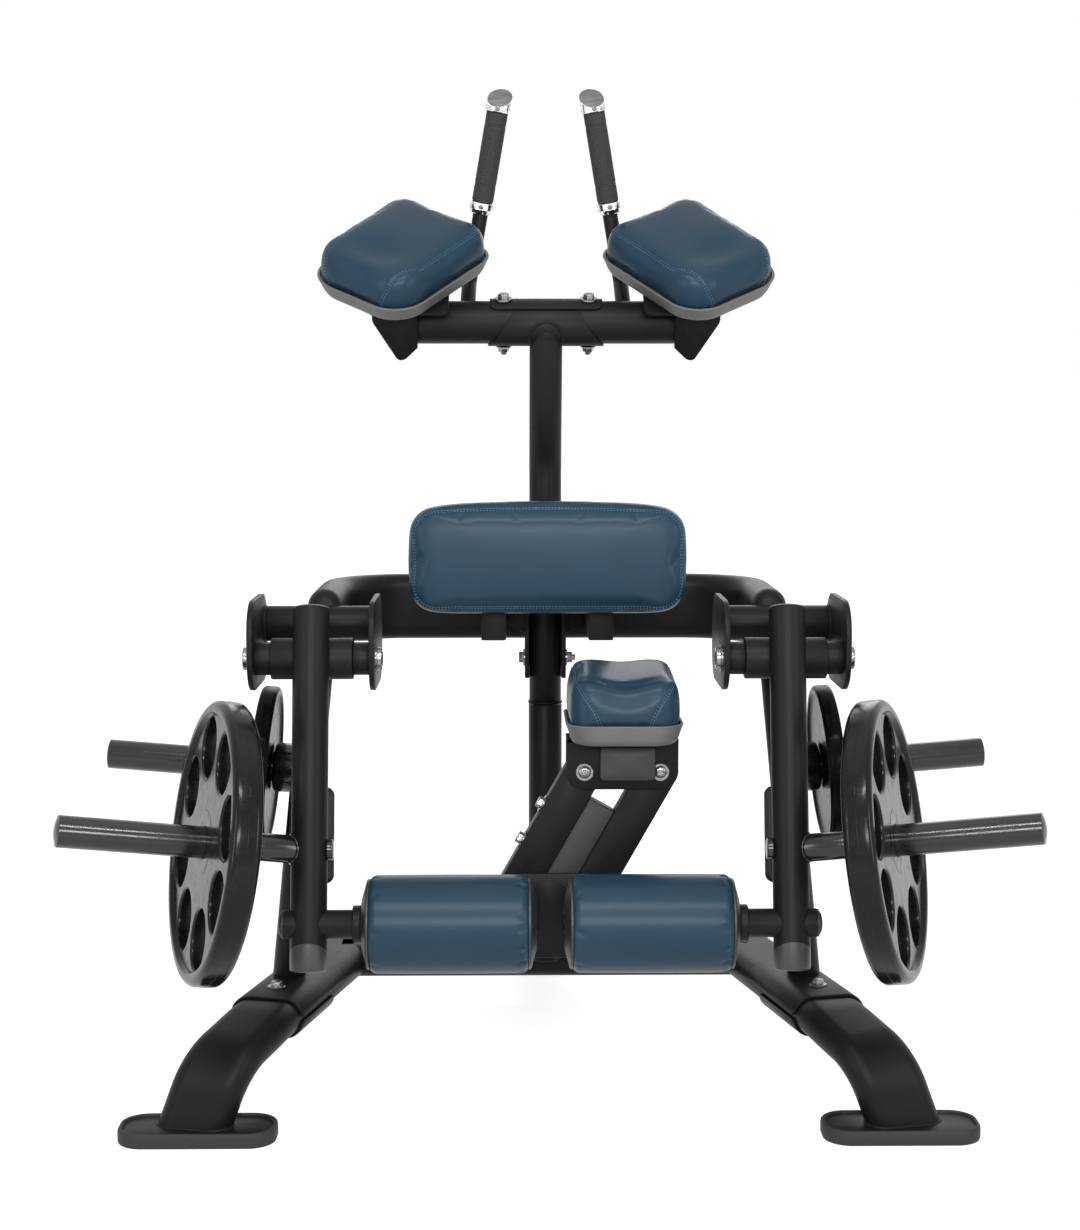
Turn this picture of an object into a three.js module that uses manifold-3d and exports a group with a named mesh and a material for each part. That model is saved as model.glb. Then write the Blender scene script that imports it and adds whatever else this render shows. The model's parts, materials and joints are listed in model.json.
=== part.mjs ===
// Kneeling hamstring machine, plate loaded, in millimetres with +Z up.
// The user stands on the -Y side and faces +Y; the machine's mid-plane is x = 0.
import * as THREE from "three";
import { mergeVertices } from "three/addons/utils/BufferGeometryUtils.js";
import Module from "manifold-3d";

const wasm = await Module();
wasm.setup();

// Fits and fineness
const gap = 0.3;
const seat = 0.3;
const overrun = 4;
const weld = 0.001;
const roundSteps = 12;
const boreSteps = 8;
const smallSteps = 8;
const cornerSteps = 3;
const boreCornerSteps = 2;
const plateSteps = 24;
const holeSteps = 5;
const domeSteps = 2;
const bevelSteps = 2;
const linkEndSteps = 5;
const arcStep = THREE.MathUtils.degToRad(19);

// Tubing
const ovalLong = 120;
const ovalShort = 60;
const ovalWall = 3;
const roundWall = 3.2;
const boreSwellShare = 0.04;

// Base: crossbeam, side beams and legs
const beamZ = 156;
const crossbeamY = 465;
const sideBeamX = 381;
const sideBeamY = 470;
const sideBeamTail = 62;
const sideSplay = THREE.MathUtils.degToRad(13.4);
const jointReach = 383;
const legStraight = 60;
const legReach = 184;
const legFlare = 32;
const legDrop = 36.5;
const legBend = 88;
const legFootReach = 199;
const legFootFlare = 65;
const footShiftX = -5.4;
const footShiftY = -9.5;
const saddleThick = 5;
const saddleBack = 200;
const saddleFront = 34;
const saddleSkirt = 26;
const clampBack = 138;
const footLong = 258;
const footWide = 110;
const footHigh = 25;
const footCorner = 44;
const footFloor = 13;
const footLip = 8;
const footPlateThick = 8;
const frontFootY = 985;
const frontLegDrop = 46;

// Uprights and the stops that the levers rest on
const uprightRadius = 28.5;
const uprightY = 215;
const uprightFootX = 455;
const uprightTopX = 400;
const uprightTopZ = 735;
const stopPlateWide = 72;
const stopPlateTall = 156;
const stopPlateThick = 8;
const stopCorner = 14;
const stopArmRadius = 24;
const bumperThick = 12;
const bumperInset = 4;
const stopHeight = 505;

// Storage horns and their plates
const storageZ = 557;
const bossRadius = 43;
const bossStart = 434;
const bossEnd = 476;
const storageTipX = 763;
const storageRise = 27;
const hornRadius = 25.3;
const hornWall = 3.5;
const hornCapDome = 5;
const storagePlateRadius = 140;
const storagePlateThick = 30;

// Hoop, cross tubes and pivot brackets
const hoopZ = 816;
const hoopX = 381;
const hoopBackY = 480;
const hoopCorner = 130;
const crossTubeRadius = 30;
const crossTubeY = 150;
const crossTubeZ = 819;
const bracketInnerX = 284;
const bracketOuterX = 490;
const bracketThick = 12;
const bracketFrontY = -48;
const bracketBackY = 182;
const bracketLowZ = 724;
const bracketHighZ = 872;
const bracketCorner = 56;
const pivotZ = 777;
const spacerRadius = 27;
const pinRadius = 12.5;
const sleeveRadius = 20;
const pivotHeadRadius = 24;
const pivotHeadThick = 5;
const pivotNutRadius = 15;
const pivotNutThick = 5;

// Lever and roller
const leverX = 386;
const leverRadius = 29.5;
const leverOffset = 46;
const leverLean = THREE.MathUtils.degToRad(12);
const leverTopZ = 862;
const leverCapDome = 7;
const leverEndFrontZ = 338;
const leverEndBackZ = 309;
const leverPlugZ = 293;
const leverPlugTall = 60;
const leverPlugRound = 5;
const housingRadius = 34;
const housingInnerX = 320.3;
const housingOuterX = 454.6;
const axleZ = 366.5;
const axleSleeveRadius = 23;
const axleSleeveInnerX = 305;
const axleOuterX = 426;
const axleWasherRadius = 20;
const axleHeadEndX = 434;
const axlePinRadius = 12.5;
const axleInnerX = 15;
const axleCollarRadius = 30;
const axleCollarEndX = 315;
const rollerInnerX = 34;
const rollerOuterX = 289;
const rollerRadius = 78.5;
const coreRadius = 32;
const coreWall = 4;
const discRadius = 75;
const discRise = 11.5;
const discWall = 5;
const discHubRadius = 38;
const rollerRound = 12;

// Lever horn and the weight plate on it
const hornRootX = 400;
const hornRootY = -110;
const hornRootZ = 482;
const hornAlongX = 351;
const hornAlongY = -123;
const hornAlongZ = 56;
const hornLength = 388;
const stubRadius = 22.5;
const sleeveStart = 100;
const leverBoltRadius = 17;
const leverBoltThick = 9;
const leverBoltHoleRadius = 9;
const weightRadius = 225;
const weightThick = 48;
const weightFaceAt = 165;
const weightRound = 12;
const rimWide = 17;
const webThick = 34;
const weightHubRadius = 46;
const weightHubThick = 42;
const gripHoleRadius = 49;
const gripRing = 153;
const gripCount = 8;

// Post
const postY = 420;
const postStepZ = 646;
const postRadius = 29;
const postUpperY = 410;
const postBendZ = 1088;
const postBend = 160;
const upperTilt = THREE.MathUtils.degToRad(20);
const postStepPlate = 8;

// Hoop clamp
const clampCheek = 8;
const clampLowZ = 692;
const clampHighZ = 858;
const clampFrontY = 376;
const clampWingX = 69;
const clampWingLowZ = 768;
const clampCorner = 16;
const clampWeb = 8;

// Crossbar and its saddles
const barRadius = 37.5;
const barWall = 4;
const barY = 335;
const barZ = 1334;
const barHalf = 238;
const capThick = 4;
const capHalf = 99;
const capHalfAngle = THREE.MathUtils.degToRad(38);
const capCorner = 12;
const lowSaddleTop = 58;
const lowSaddleBottom = 103;
const lowSaddleAngle = THREE.MathUtils.degToRad(134);

// Elbow pads, their supports and handles
const padTilt = THREE.MathUtils.degToRad(34.3);
const padTurn = THREE.MathUtils.degToRad(52.4);
const elbowX = 255;
const elbowY = 300;
const elbowZ = 1473.6;
const elbowLong = 258;
const elbowWide = 212;
const elbowCorner = 58;
const elbowThick = 56;
const elbowTop = 6;
const elbowRound = 24;
const trayLip = 6;
const trayTall = 32;
const trayLipTall = 9;
const trayRound = 9;
const supportThick = 6;
const supportInnerX = 170;
const supportOuterX = 322;
const supportHalf = 58;
const gussetThick = 8;
const gussetTipX = 254;
const gussetTipDown = 52;
const gussetTipHalf = 9;
const gussetInset = 24;
const cheekDown = 8;
const handleTopX = 81;
const handleTopY = 365;
const handleTopRise = 393;
const handleCollarShare = 0.378;
const handleTurnX = 137;
const handleTurnY = 440;
const handleTurnRise = 78;
const handleEndX = 140;
const handleBend = 30;
const handleCoreRadius = 13.5;
const gripRadius = 19.3;
const collarRadius = 22.5;
const collarNeckRadius = 20;
const collarTall = 20;
const handleCapRadius = 21;
const handleCapTall = 46;
const gripRound = 2;

// Thigh pad
const thighHalf = 238;
const thighLowZ = 836;
const thighHighZ = 1026;
const thighFrontY = 110;
const thighThick = 70;
const thighCorner = 32;
const thighRound = 22;
const backPlateThick = 6;
const backPlateHalf = 170;
const backPlateHalfTall = 62;
const thighArmInnerX = 71;
const thighArmOuterX = 114;
const thighArmLowZ = 785;
const thighArmHighZ = 865;
const thighArmTopZ = 935;
const thighArmKnee = 70;
const thighArmWall = 5;

// Knee linkage and pad
const linkLowZ = 365;
const linkHighZ = 586;
const linkLeftX = -66.4;
const linkSpan = 125.4;
const linkShift = 125.4;
const linkWide = 62;
const linkFrontY = 18;
const linkBackY = 62;
const linkPinRadius = 12;
const linkHubRadius = 24;
const sidePlate = 8;
const carriageEdge = 30;
const carriageDown = 29.5;
const carriageUp = 56;
const carriageWeb = 8;
const coverHalf = 46;
const coverShift = 8;
const coverLowZ = 574;
const coverHighZ = 631;
const coverDeep = 20;
const coverRound = 4;
const boltDomeRadius = 15;
const boltDomeTall = 7;
const baseEdge = 33;
const baseLowZ = 272;
const baseHighZ = 415;
const baseTopHalf = 58;
const baseTopX = 20;
const spineZ = 340;
const stopBlockLong = 172;
const stopBlockTall = 34;
const stopBlockShare = 0.52;
const kneeHalfWide = 90;
const kneeHalfDeep = 108;
const kneeY = 20;
const kneeTrayTall = 35;
const kneeCorner = 40;
const kneeTopZ = 774;
const kneeRound = 26;
const kneeDip = 12;
const kneeDipShare = 1.4;

const kneeTrayZ = linkHighZ + carriageUp + gap;

// Finishes
const satinBlack = { color: 0x26272a, roughness: 0.5, metalness: 0.35 };
const glossBlack = { color: 0x141416, roughness: 0.25, metalness: 0.05 };
const greyPlastic = { color: 0x55565a, roughness: 0.6, metalness: 0 };
const darkRubber = { color: 0x3a3b3d, roughness: 0.8, metalness: 0 };
const blueVinyl = { color: 0x2a4d66, roughness: 0.45, metalness: 0 };
const brightChrome = { color: 0xd8dadd, roughness: 0.12, metalness: 1 };
const zincSteel = { color: 0xb4b6b8, roughness: 0.35, metalness: 1 };

const upX = new THREE.Vector3(1, 0, 0);
const upY = new THREE.Vector3(0, 1, 0);
const upZ = new THREE.Vector3(0, 0, 1);
const machine = new THREE.Group();
machine.name = "kneeling_hamstring_machine";

function point(x, y, z) {
  return new THREE.Vector3(x, y, z);
}

// A closed solid from a three.js geometry, turned to face outwards.
function solid(geometry) {
  const loose = geometry.index ? geometry.toNonIndexed() : geometry.clone();
  const bare = new THREE.BufferGeometry();
  bare.setAttribute("position", loose.getAttribute("position"));
  const merged = mergeVertices(bare, weld);
  const vertProperties = merged.attributes.position.array;
  const triVerts = new Uint32Array(merged.index.array);
  const made = new wasm.Manifold(new wasm.Mesh({ numProp: 3, vertProperties, triVerts }));
  if (made.volume() > 0) return made;
  for (let i = 0; i < triVerts.length; i += 3) {
    [triVerts[i + 1], triVerts[i + 2]] = [triVerts[i + 2], triVerts[i + 1]];
  }
  return new wasm.Manifold(new wasm.Mesh({ numProp: 3, vertProperties, triVerts }));
}

function join(...solids) {
  return solids.reduce((all, one) => all.add(one));
}

// The three.js mesh of a solid, with its own material.
function show(name, body, finish) {
  const { vertProperties, triVerts } = body.getMesh();
  const geometry = new THREE.BufferGeometry();
  geometry.setAttribute("position", new THREE.BufferAttribute(new Float32Array(vertProperties), 3));
  geometry.setIndex(new THREE.BufferAttribute(new Uint32Array(triVerts), 1));
  const flat = geometry.toNonIndexed();
  flat.computeVertexNormals();
  const mesh = new THREE.Mesh(flat, new THREE.MeshStandardMaterial(finish));
  mesh.name = name;
  machine.add(mesh);
  return mesh;
}

// A piece of the right side and its mirror image on the left.
function showPair(name, body, finish) {
  show(`${name}_right`, body, finish);
  show(`${name}_left`, body, finish).scale.set(-1, 1, 1);
}

// The matrix that puts z along a direction and x as near as it can to a hint.
function placed(origin, along, hint) {
  const z = along.clone().normalize();
  const x = hint.clone().addScaledVector(z, -hint.dot(z)).normalize();
  const y = new THREE.Vector3().crossVectors(z, x);
  return new THREE.Matrix4().makeBasis(x, y, z).setPosition(origin);
}

function block(low, high) {
  const size = high.clone().sub(low);
  const geometry = new THREE.BoxGeometry(size.x, size.y, size.z);
  const middle = low.clone().add(high).divideScalar(2);
  return solid(geometry.translate(middle.x, middle.y, middle.z));
}

// A turned piece: (radius, height) pairs from the axis back to the axis.
function turned(profile, origin, along, steps = roundSteps) {
  const outline = profile.map(([radius, height]) => new THREE.Vector2(radius, height));
  const geometry = new THREE.LatheGeometry(outline, steps);
  geometry.rotateX(Math.PI / 2);
  return solid(geometry.applyMatrix4(placed(origin, along, Math.abs(along.x) > Math.abs(along.z) ? upZ : upX)));
}

function rod(radius, from, to, steps = roundSteps) {
  const along = to.clone().sub(from);
  return turned([[0, 0], [radius, 0], [radius, along.length()], [0, along.length()]], from, along, steps);
}

// A round cutter whose flats, and not only its corners, stand clear of the radius.
function bore(radius, from, to, steps = roundSteps) {
  return rod(radius / Math.cos(Math.PI / steps), from, to, steps);
}

// A round dome of a given rise on a disc, as points of a turned profile.
function dome(radius, height, rise, count) {
  const bend = (radius * radius + rise * rise) / (2 * rise);
  const reach = Math.asin(radius / bend);
  const outline = [];
  for (let i = 0; i <= count; i += 1) {
    const angle = (reach * (count - i)) / count;
    outline.push([bend * Math.sin(angle), height + rise - bend * (1 - Math.cos(angle))]);
  }
  return outline;
}

function outline(corners) {
  return new THREE.Shape(corners.map(([x, y]) => new THREE.Vector2(x, y)));
}

// A rectangle with round corners, centred on the origin.
function roundedBox(width, height, corner) {
  const x = width / 2 - corner;
  const y = height / 2 - corner;
  const shape = new THREE.Shape();
  shape.absarc(x, y, corner, 0, Math.PI / 2);
  shape.absarc(-x, y, corner, Math.PI / 2, Math.PI);
  shape.absarc(-x, -y, corner, Math.PI, Math.PI * 1.5);
  shape.absarc(x, -y, corner, Math.PI * 1.5, Math.PI * 2);
  return shape;
}

// A flat oval with its straight sides along x, grown or shrunk all round.
function oval(grow) {
  const shape = new THREE.Shape();
  const radius = ovalShort / 2 + grow;
  const reach = (ovalLong - ovalShort) / 2;
  shape.absarc(reach, 0, radius, -Math.PI / 2, Math.PI / 2);
  shape.absarc(-reach, 0, radius, Math.PI / 2, Math.PI * 1.5);
  return shape;
}

function circle(radius) {
  const shape = new THREE.Shape();
  shape.absarc(0, 0, radius, 0, Math.PI * 2);
  return shape;
}

// A flat piece: a shape in x and y, extruded along z and put in place.
function slab(shape, thick, place, steps = cornerSteps) {
  const options = { depth: thick, bevelEnabled: false, curveSegments: steps };
  return solid(new THREE.ExtrudeGeometry(shape, options).applyMatrix4(place));
}

// A slab with rounded edges, whose outline and depth are the outer sizes.
function padded(width, height, corner, thick, round, place, steps = cornerSteps) {
  const shape = roundedBox(width - 2 * round, height - 2 * round, Math.max(corner - round, weld));
  const options = {
    depth: thick - 2 * round,
    bevelThickness: round,
    bevelSize: round,
    bevelSegments: bevelSteps,
    curveSegments: steps,
  };
  const geometry = new THREE.ExtrudeGeometry(shape, options).translate(0, 0, round);
  return solid(geometry.applyMatrix4(place));
}

// A path of straight runs with round bends; its sections keep one side square to the bend plane.
class Rail extends THREE.Curve {
  constructor(points, radii, side) {
    super();
    this.side = side;
    this.at = [points[0].clone()];
    this.along = [points[1].clone().sub(points[0]).normalize()];
    for (let i = 1; i < points.length - 1; i += 1) this.turn(points[i - 1], points[i], points[i + 1], radii[i - 1]);
    const last = points.length - 1;
    this.at.push(points[last].clone());
    this.along.push(points[last].clone().sub(points[last - 1]).normalize());
  }

  turn(before, corner, after, radius) {
    const into = corner.clone().sub(before).normalize();
    const out = after.clone().sub(corner).normalize();
    const angle = into.angleTo(out);
    const inward = out.clone().addScaledVector(into, -out.dot(into)).normalize();
    const start = corner.clone().addScaledVector(into, -radius * Math.tan(angle / 2));
    const centre = start.clone().addScaledVector(inward, radius);
    const count = Math.ceil(angle / arcStep);
    for (let i = 0; i <= count; i += 1) {
      const part = (angle * i) / count;
      const spot = centre.clone().addScaledVector(inward, -radius * Math.cos(part));
      this.at.push(spot.addScaledVector(into, radius * Math.sin(part)));
      this.along.push(into.clone().multiplyScalar(Math.cos(part)).addScaledVector(inward, Math.sin(part)));
    }
  }

  getPointAt(share) {
    return this.at[Math.round(share * (this.at.length - 1))].clone();
  }

  getTangentAt(share) {
    return this.along[Math.round(share * (this.at.length - 1))].clone();
  }

  computeFrenetFrames() {
    const tangents = this.along;
    const normals = tangents.map((t) => this.side.clone().addScaledVector(t, -this.side.dot(t)).normalize());
    const binormals = tangents.map((t, i) => new THREE.Vector3().crossVectors(t, normals[i]));
    return { tangents, normals, binormals };
  }
}

function swept(shape, points, radii, side, steps = cornerSteps) {
  const rail = new Rail(points, radii, side);
  const options = { steps: rail.at.length - 1, curveSegments: steps, extrudePath: rail };
  return solid(new THREE.ExtrudeGeometry(shape, options));
}

// The same path with both of its ends carried on, for cutting a bore.
function longer(points, more) {
  const last = points.length - 1;
  const copy = points.map((p) => p.clone());
  copy[0].addScaledVector(points[1].clone().sub(points[0]).normalize(), -more);
  copy[last].addScaledVector(points[last].clone().sub(points[last - 1]).normalize(), more);
  return copy;
}

// A bore has few sides, so it is drawn a little larger to keep the tube's real mass.
const ovalBore = (ovalShort / 2 - ovalWall) * boreSwellShare - ovalWall;
const roundBore = (radius, wall) => (radius - wall) * (1 + boreSwellShare);

// An open flat oval tube; side is the way its long side faces.
function ovalTube(points, radii, side) {
  const skin = swept(oval(0), points, radii, side);
  return skin.subtract(swept(oval(ovalBore), longer(points, overrun), radii, side, boreCornerSteps));
}

function ovalFill(points, radii, side, grow, more) {
  return swept(oval(grow), longer(points, more), radii, side);
}

function roundTube(radius, wall, points, radii, side) {
  const skin = swept(circle(radius), points, radii, side, roundSteps / 2);
  const bore = swept(circle(roundBore(radius, wall)), longer(points, overrun), radii, side, boreSteps / 2);
  return skin.subtract(bore);
}

// Crossbeam, side beams and legs
const splayOut = point(Math.sin(sideSplay), -Math.cos(sideSplay), 0);
const splaySide = point(Math.cos(sideSplay), Math.sin(sideSplay), 0);
const beamRoot = point(sideBeamX, sideBeamY, beamZ);
const beamTail = beamRoot.clone().addScaledVector(splayOut, -sideBeamTail);
const beamJoint = beamRoot.clone().addScaledVector(splayOut, jointReach);
const sideBeamLine = [beamTail, beamJoint];
const sideBeamFat = ovalFill(sideBeamLine, [], splaySide, gap, 0);
const mirrorLeft = [1, 0, 0];
const crossLine = [point(-sideBeamX, crossbeamY, beamZ), point(sideBeamX, crossbeamY, beamZ)];
const crossbeam = ovalTube(crossLine, [], upY).subtract(sideBeamFat).subtract(sideBeamFat.mirror(mirrorLeft));
show("crossbeam", crossbeam, satinBlack);

const saddleMiddle = beamJoint.clone().addScaledVector(splayOut, (saddleFront - saddleBack) / 2);
const saddleHalf = (saddleFront + saddleBack) / 2;
const saddleLine = [
  saddleMiddle.clone().addScaledVector(splayOut, -saddleHalf),
  saddleMiddle.clone().addScaledVector(splayOut, saddleHalf),
];
const saddleShell = swept(oval(saddleThick + gap), saddleLine, [], splaySide);
const saddleRoof = saddleShell
  .subtract(ovalFill(saddleLine, [], splaySide, gap, overrun))
  .trimByPlane([0, 0, 1], beamZ + ovalShort / 2 - saddleSkirt);
const saddleWeld = swept(oval(saddleThick / 2), [saddleLine[0], beamJoint], [], splaySide)
  .subtract(ovalFill([saddleLine[0], beamJoint], [], splaySide, -ovalWall / 2, overrun))
  .trimByPlane([0, 0, 1], beamZ + ovalShort / 2 - saddleSkirt);
const sideBeam = join(ovalTube(sideBeamLine, [], splaySide), saddleRoof, saddleWeld);
showPair("side_beam", sideBeam, satinBlack);

const legStart = beamJoint.clone().addScaledVector(splayOut, gap);
const legKnee = beamJoint
  .clone()
  .addScaledVector(splayOut, legReach)
  .addScaledVector(splaySide, legFlare)
  .setZ(beamZ - legDrop);
const legStep = beamJoint.clone().addScaledVector(splayOut, legStraight);
const footTop = footFloor + gap + footPlateThick;
const legFoot = beamJoint
  .clone()
  .addScaledVector(splayOut, legFootReach)
  .addScaledVector(splaySide, legFootFlare)
  .setZ(footTop);
const footX = legFoot.x + footShiftX;
const footY = legFoot.y + footShiftY;
const legLean = legFoot.clone().sub(legKnee).normalize();
const legEnd = legFoot.clone().addScaledVector(legLean, ovalShort / 2);
const legLine = [legStart, legStep, legKnee, legEnd];
const legRadii = [ovalLong, legBend];
const legTube = ovalTube(legLine, legRadii, splaySide).trimByPlane([0, 0, 1], footFloor + gap);
const footPlace = new THREE.Matrix4().setPosition(footX, footY, footFloor + gap);
const plateLong = footLong - 2 * (footLip + gap);
const plateWide = footWide - 2 * (footLip + gap);
const plateCorner = footCorner - footLip - gap;
const footPlateShape = roundedBox(plateLong, plateWide, plateCorner);
const footPlate = slab(footPlateShape, footPlateThick, footPlace);
const clampLine = [
  beamJoint.clone().addScaledVector(splayOut, -clampBack),
  beamJoint.clone().addScaledVector(splayOut, saddleFront),
];
const clampHigh = beamZ - ovalShort / 2 + saddleSkirt;
const clampShell = swept(oval(saddleThick + gap), clampLine, [], splaySide)
  .subtract(ovalFill(clampLine, [], splaySide, gap, overrun))
  .trimByPlane([0, 0, -1], -clampHigh);
const clampFill = [legStart, clampLine[1]];
const clampWeld = swept(oval(saddleThick / 2), clampFill, [], splaySide)
  .subtract(ovalFill(clampFill, [], splaySide, -ovalWall / 2, overrun))
  .trimByPlane([0, 0, -1], -clampHigh);
showPair("leg", join(legTube, footPlate, clampShell, clampWeld), satinBlack);

// A solid moved by a matrix.
function turnedBlock(body, matrix) {
  return body.transform(matrix.elements);
}

function footPad(x, y) {
  const body = slab(roundedBox(footLong, footWide, footCorner), footHigh, new THREE.Matrix4().setPosition(x, y, 0));
  const well = slab(
    roundedBox(footLong - 2 * footLip, footWide - 2 * footLip, footCorner - footLip),
    footHigh,
    new THREE.Matrix4().setPosition(x, y, footFloor),
  );
  return body.subtract(well);
}
showPair("foot_pad", footPad(footX, footY), darkRubber);

const frontLine = [
  point(0, crossbeamY, beamZ),
  point(0, crossbeamY + ovalLong, beamZ),
  point(0, frontFootY, beamZ - frontLegDrop),
  point(0, frontFootY, footTop),
];
const crossFat = ovalFill(crossLine, [], upY, gap, 0);
const frontTube = ovalTube(frontLine, legRadii, upX).subtract(crossFat);
const frontPlace = new THREE.Matrix4().setPosition(0, frontFootY, footFloor + gap);
const frontPlate = slab(footPlateShape, footPlateThick, frontPlace);
show("front_leg", join(frontTube, frontPlate), satinBlack);
show("foot_pad_front", footPad(0, frontFootY), darkRubber);

// Hoop, with its arms coped round the cross tubes of the brackets
const crossTubeMiddle = point(0, crossTubeY, crossTubeZ);
const crossTubeFat = bore(
  crossTubeRadius + gap,
  point(-bracketOuterX, crossTubeY, crossTubeZ),
  point(bracketOuterX, crossTubeY, crossTubeZ),
);
const hoopLine = [
  point(hoopX, crossTubeY, hoopZ),
  point(hoopX, hoopBackY, hoopZ),
  point(-hoopX, hoopBackY, hoopZ),
  point(-hoopX, crossTubeY, hoopZ),
];
const hoopRadii = [hoopCorner, hoopCorner];
show("hoop", ovalTube(hoopLine, hoopRadii, upZ).subtract(crossTubeFat), satinBlack);

// Uprights with the stop arms welded to them
const hoopFat = ovalFill(hoopLine, hoopRadii, upZ, gap, overrun);
const uprightSlope = (uprightFootX - uprightTopX) / (uprightTopZ - beamZ - ovalShort / 2);
const uprightAt = (z) => point(uprightTopX + (uprightTopZ - z) * uprightSlope, uprightY, z);
const uprightLine = [uprightAt(beamZ + ovalShort / 4), uprightAt(hoopZ - ovalShort / 2)];
const uprightTube = roundTube(uprightRadius, roundWall, uprightLine, [], upY);
const leverUp = point(0, Math.sin(leverLean), Math.cos(leverLean));
const leverBack = point(0, Math.cos(leverLean), -Math.sin(leverLean));
const leverMid = point(leverX, 0, pivotZ).addScaledVector(leverBack, -leverOffset);
const leverAt = (z) => leverMid.clone().addScaledVector(leverUp, (z - leverMid.z) / leverUp.z);
const bumperFace = leverAt(stopHeight).addScaledVector(leverBack, leverRadius + gap);
const plateFace = bumperFace.clone().addScaledVector(leverBack, bumperThick + gap);
const stopPlate = slab(
  roundedBox(stopPlateWide, stopPlateTall, stopCorner),
  stopPlateThick,
  placed(plateFace, leverBack, upX),
);
const armStart = plateFace.clone().addScaledVector(leverBack, stopPlateThick / 2);
const armEnd = uprightAt(armStart.z);
const uprightFill = rod(uprightRadius - roundWall / 2, uprightLine[0], uprightLine[1]);
const stopArm = roundTube(stopArmRadius, roundWall, longer([armStart, armEnd], ovalShort / 4), [], upX)
  .subtract(uprightFill)
  .trimByPlane(leverBack.toArray(), leverBack.dot(armStart));
const saddleFat = swept(oval(saddleThick + 2 * gap), longer(saddleLine, gap), [], splaySide);
const armDrain = rod(hornWall, armEnd, armEnd.clone().lerp(armStart, 0.4), boreSteps);
const uprightAll = join(uprightTube, stopArm, stopPlate).subtract(armDrain).subtract(hoopFat).subtract(sideBeamFat).subtract(saddleFat);
const bumper = slab(
  roundedBox(stopPlateWide - 2 * bumperInset, stopPlateTall - 2 * bumperInset, stopCorner),
  bumperThick,
  placed(bumperFace, leverBack, upX),
);
showPair("stop_bumper", bumper, darkRubber);

// Storage horns on the uprights
const storageFoot = point(bossStart, uprightY, storageZ);
const storageTip = point(storageTipX, uprightY, storageZ + storageRise);
const storageAlong = storageTip.clone().sub(storageFoot).normalize();
const uprightFat = bore(uprightRadius + gap, uprightLine[0], uprightLine[1]);
const boss = turned(
  [
    [0, 0],
    [bossRadius, 0],
    [bossRadius, bossEnd - bossStart - bracketThick / 2],
    [bossRadius - bracketThick / 2, bossEnd - bossStart],
    [0, bossEnd - bossStart],
  ],
  storageFoot,
  storageAlong,
);
function hornSleeve(from, to, radius) {
  const along = to.clone().sub(from);
  const long = along.length();
  return turned(
    [
      [radius - hornWall, 0],
      [radius, 0],
      [radius, long - gap * 5],
      ...dome(radius - gap * 5, long - gap * 5, hornCapDome, domeSteps),
      [0, long - hornWall],
      [radius - hornWall, long - hornWall],
      [radius - hornWall, 0],
    ],
    from,
    along,
  );
}
const bossLong = bossEnd - bossStart;
const storageLine = (s) => storageFoot.clone().addScaledVector(storageAlong, s);
const storageHorn = join(boss, hornSleeve(storageLine(bossLong - overrun), storageTip, hornRadius));
const bossVent = rod(hornWall, storageLine(-overrun), storageLine(bossLong + overrun), boreSteps);
showPair("storage_horn", storageHorn.subtract(uprightFat).subtract(bossVent), satinBlack);
showPair("upright", uprightAll, satinBlack);

// A round weight plate: profile in (radius, height) from its inner face
function weightPlate(radius, thick, place) {
  const inner = hornRadius + gap;
  const mid = thick / 2;
  const share = thick / weightThick;
  const rim = rimWide * share;
  const round = weightRound * share;
  const web = (webThick * share) / 2;
  const hub = (weightHubThick * share) / 2;
  const side = [
    [inner, hub],
    [weightHubRadius * Math.sqrt(share), hub],
    [weightHubRadius * Math.sqrt(share) + (hub - web), web],
    [radius - rim - (mid - web) / 2, web],
    [radius - rim, mid],
    [radius - round, mid],
    [radius, mid - round],
  ];
  const lower = side.map(([r, h]) => [r, mid - h]);
  const upper = side.map(([r, h]) => [r, mid + h]).reverse();
  const geometry = new THREE.LatheGeometry(
    [...lower, ...upper, lower[0]].map(([r, h]) => new THREE.Vector2(r, h)),
    plateSteps,
  );
  geometry.rotateX(Math.PI / 2);
  return solid(geometry.applyMatrix4(place));
}
const storagePlace = placed(storageLine(bossLong + gap), storageAlong, upY);
showPair("storage_plate", weightPlate(storagePlateRadius, storagePlateThick, storagePlace), glossBlack);

// Pivot brackets: two side plates and the cross tube between them
function bracketPlate(x) {
  const shape = roundedBox(bracketBackY - bracketFrontY, bracketHighZ - bracketLowZ, bracketCorner);
  const middle = point(x, (bracketBackY + bracketFrontY) / 2, (bracketHighZ + bracketLowZ) / 2);
  return slab(shape, bracketThick, placed(middle, upX, upY));
}
const crossTube = roundTube(
  crossTubeRadius,
  roundWall,
  [point(bracketInnerX + bracketThick / 2, crossTubeY, crossTubeZ), point(bracketOuterX - bracketThick / 2, crossTubeY, crossTubeZ)],
  [],
  upZ,
);
const pinBore = bore(pinRadius + gap, point(0, 0, pivotZ), point(bracketOuterX + overrun, 0, pivotZ), smallSteps);
const crossBore = rod(
  crossTubeRadius - roundWall,
  point(bracketInnerX - overrun, crossTubeY, crossTubeZ),
  point(bracketInnerX + bracketThick, crossTubeY, crossTubeZ),
);
const bracket = join(crossTube, bracketPlate(bracketInnerX), bracketPlate(bracketOuterX - bracketThick));
showPair("pivot_bracket", bracket.subtract(pinBore).subtract(crossBore), satinBlack);

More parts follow.
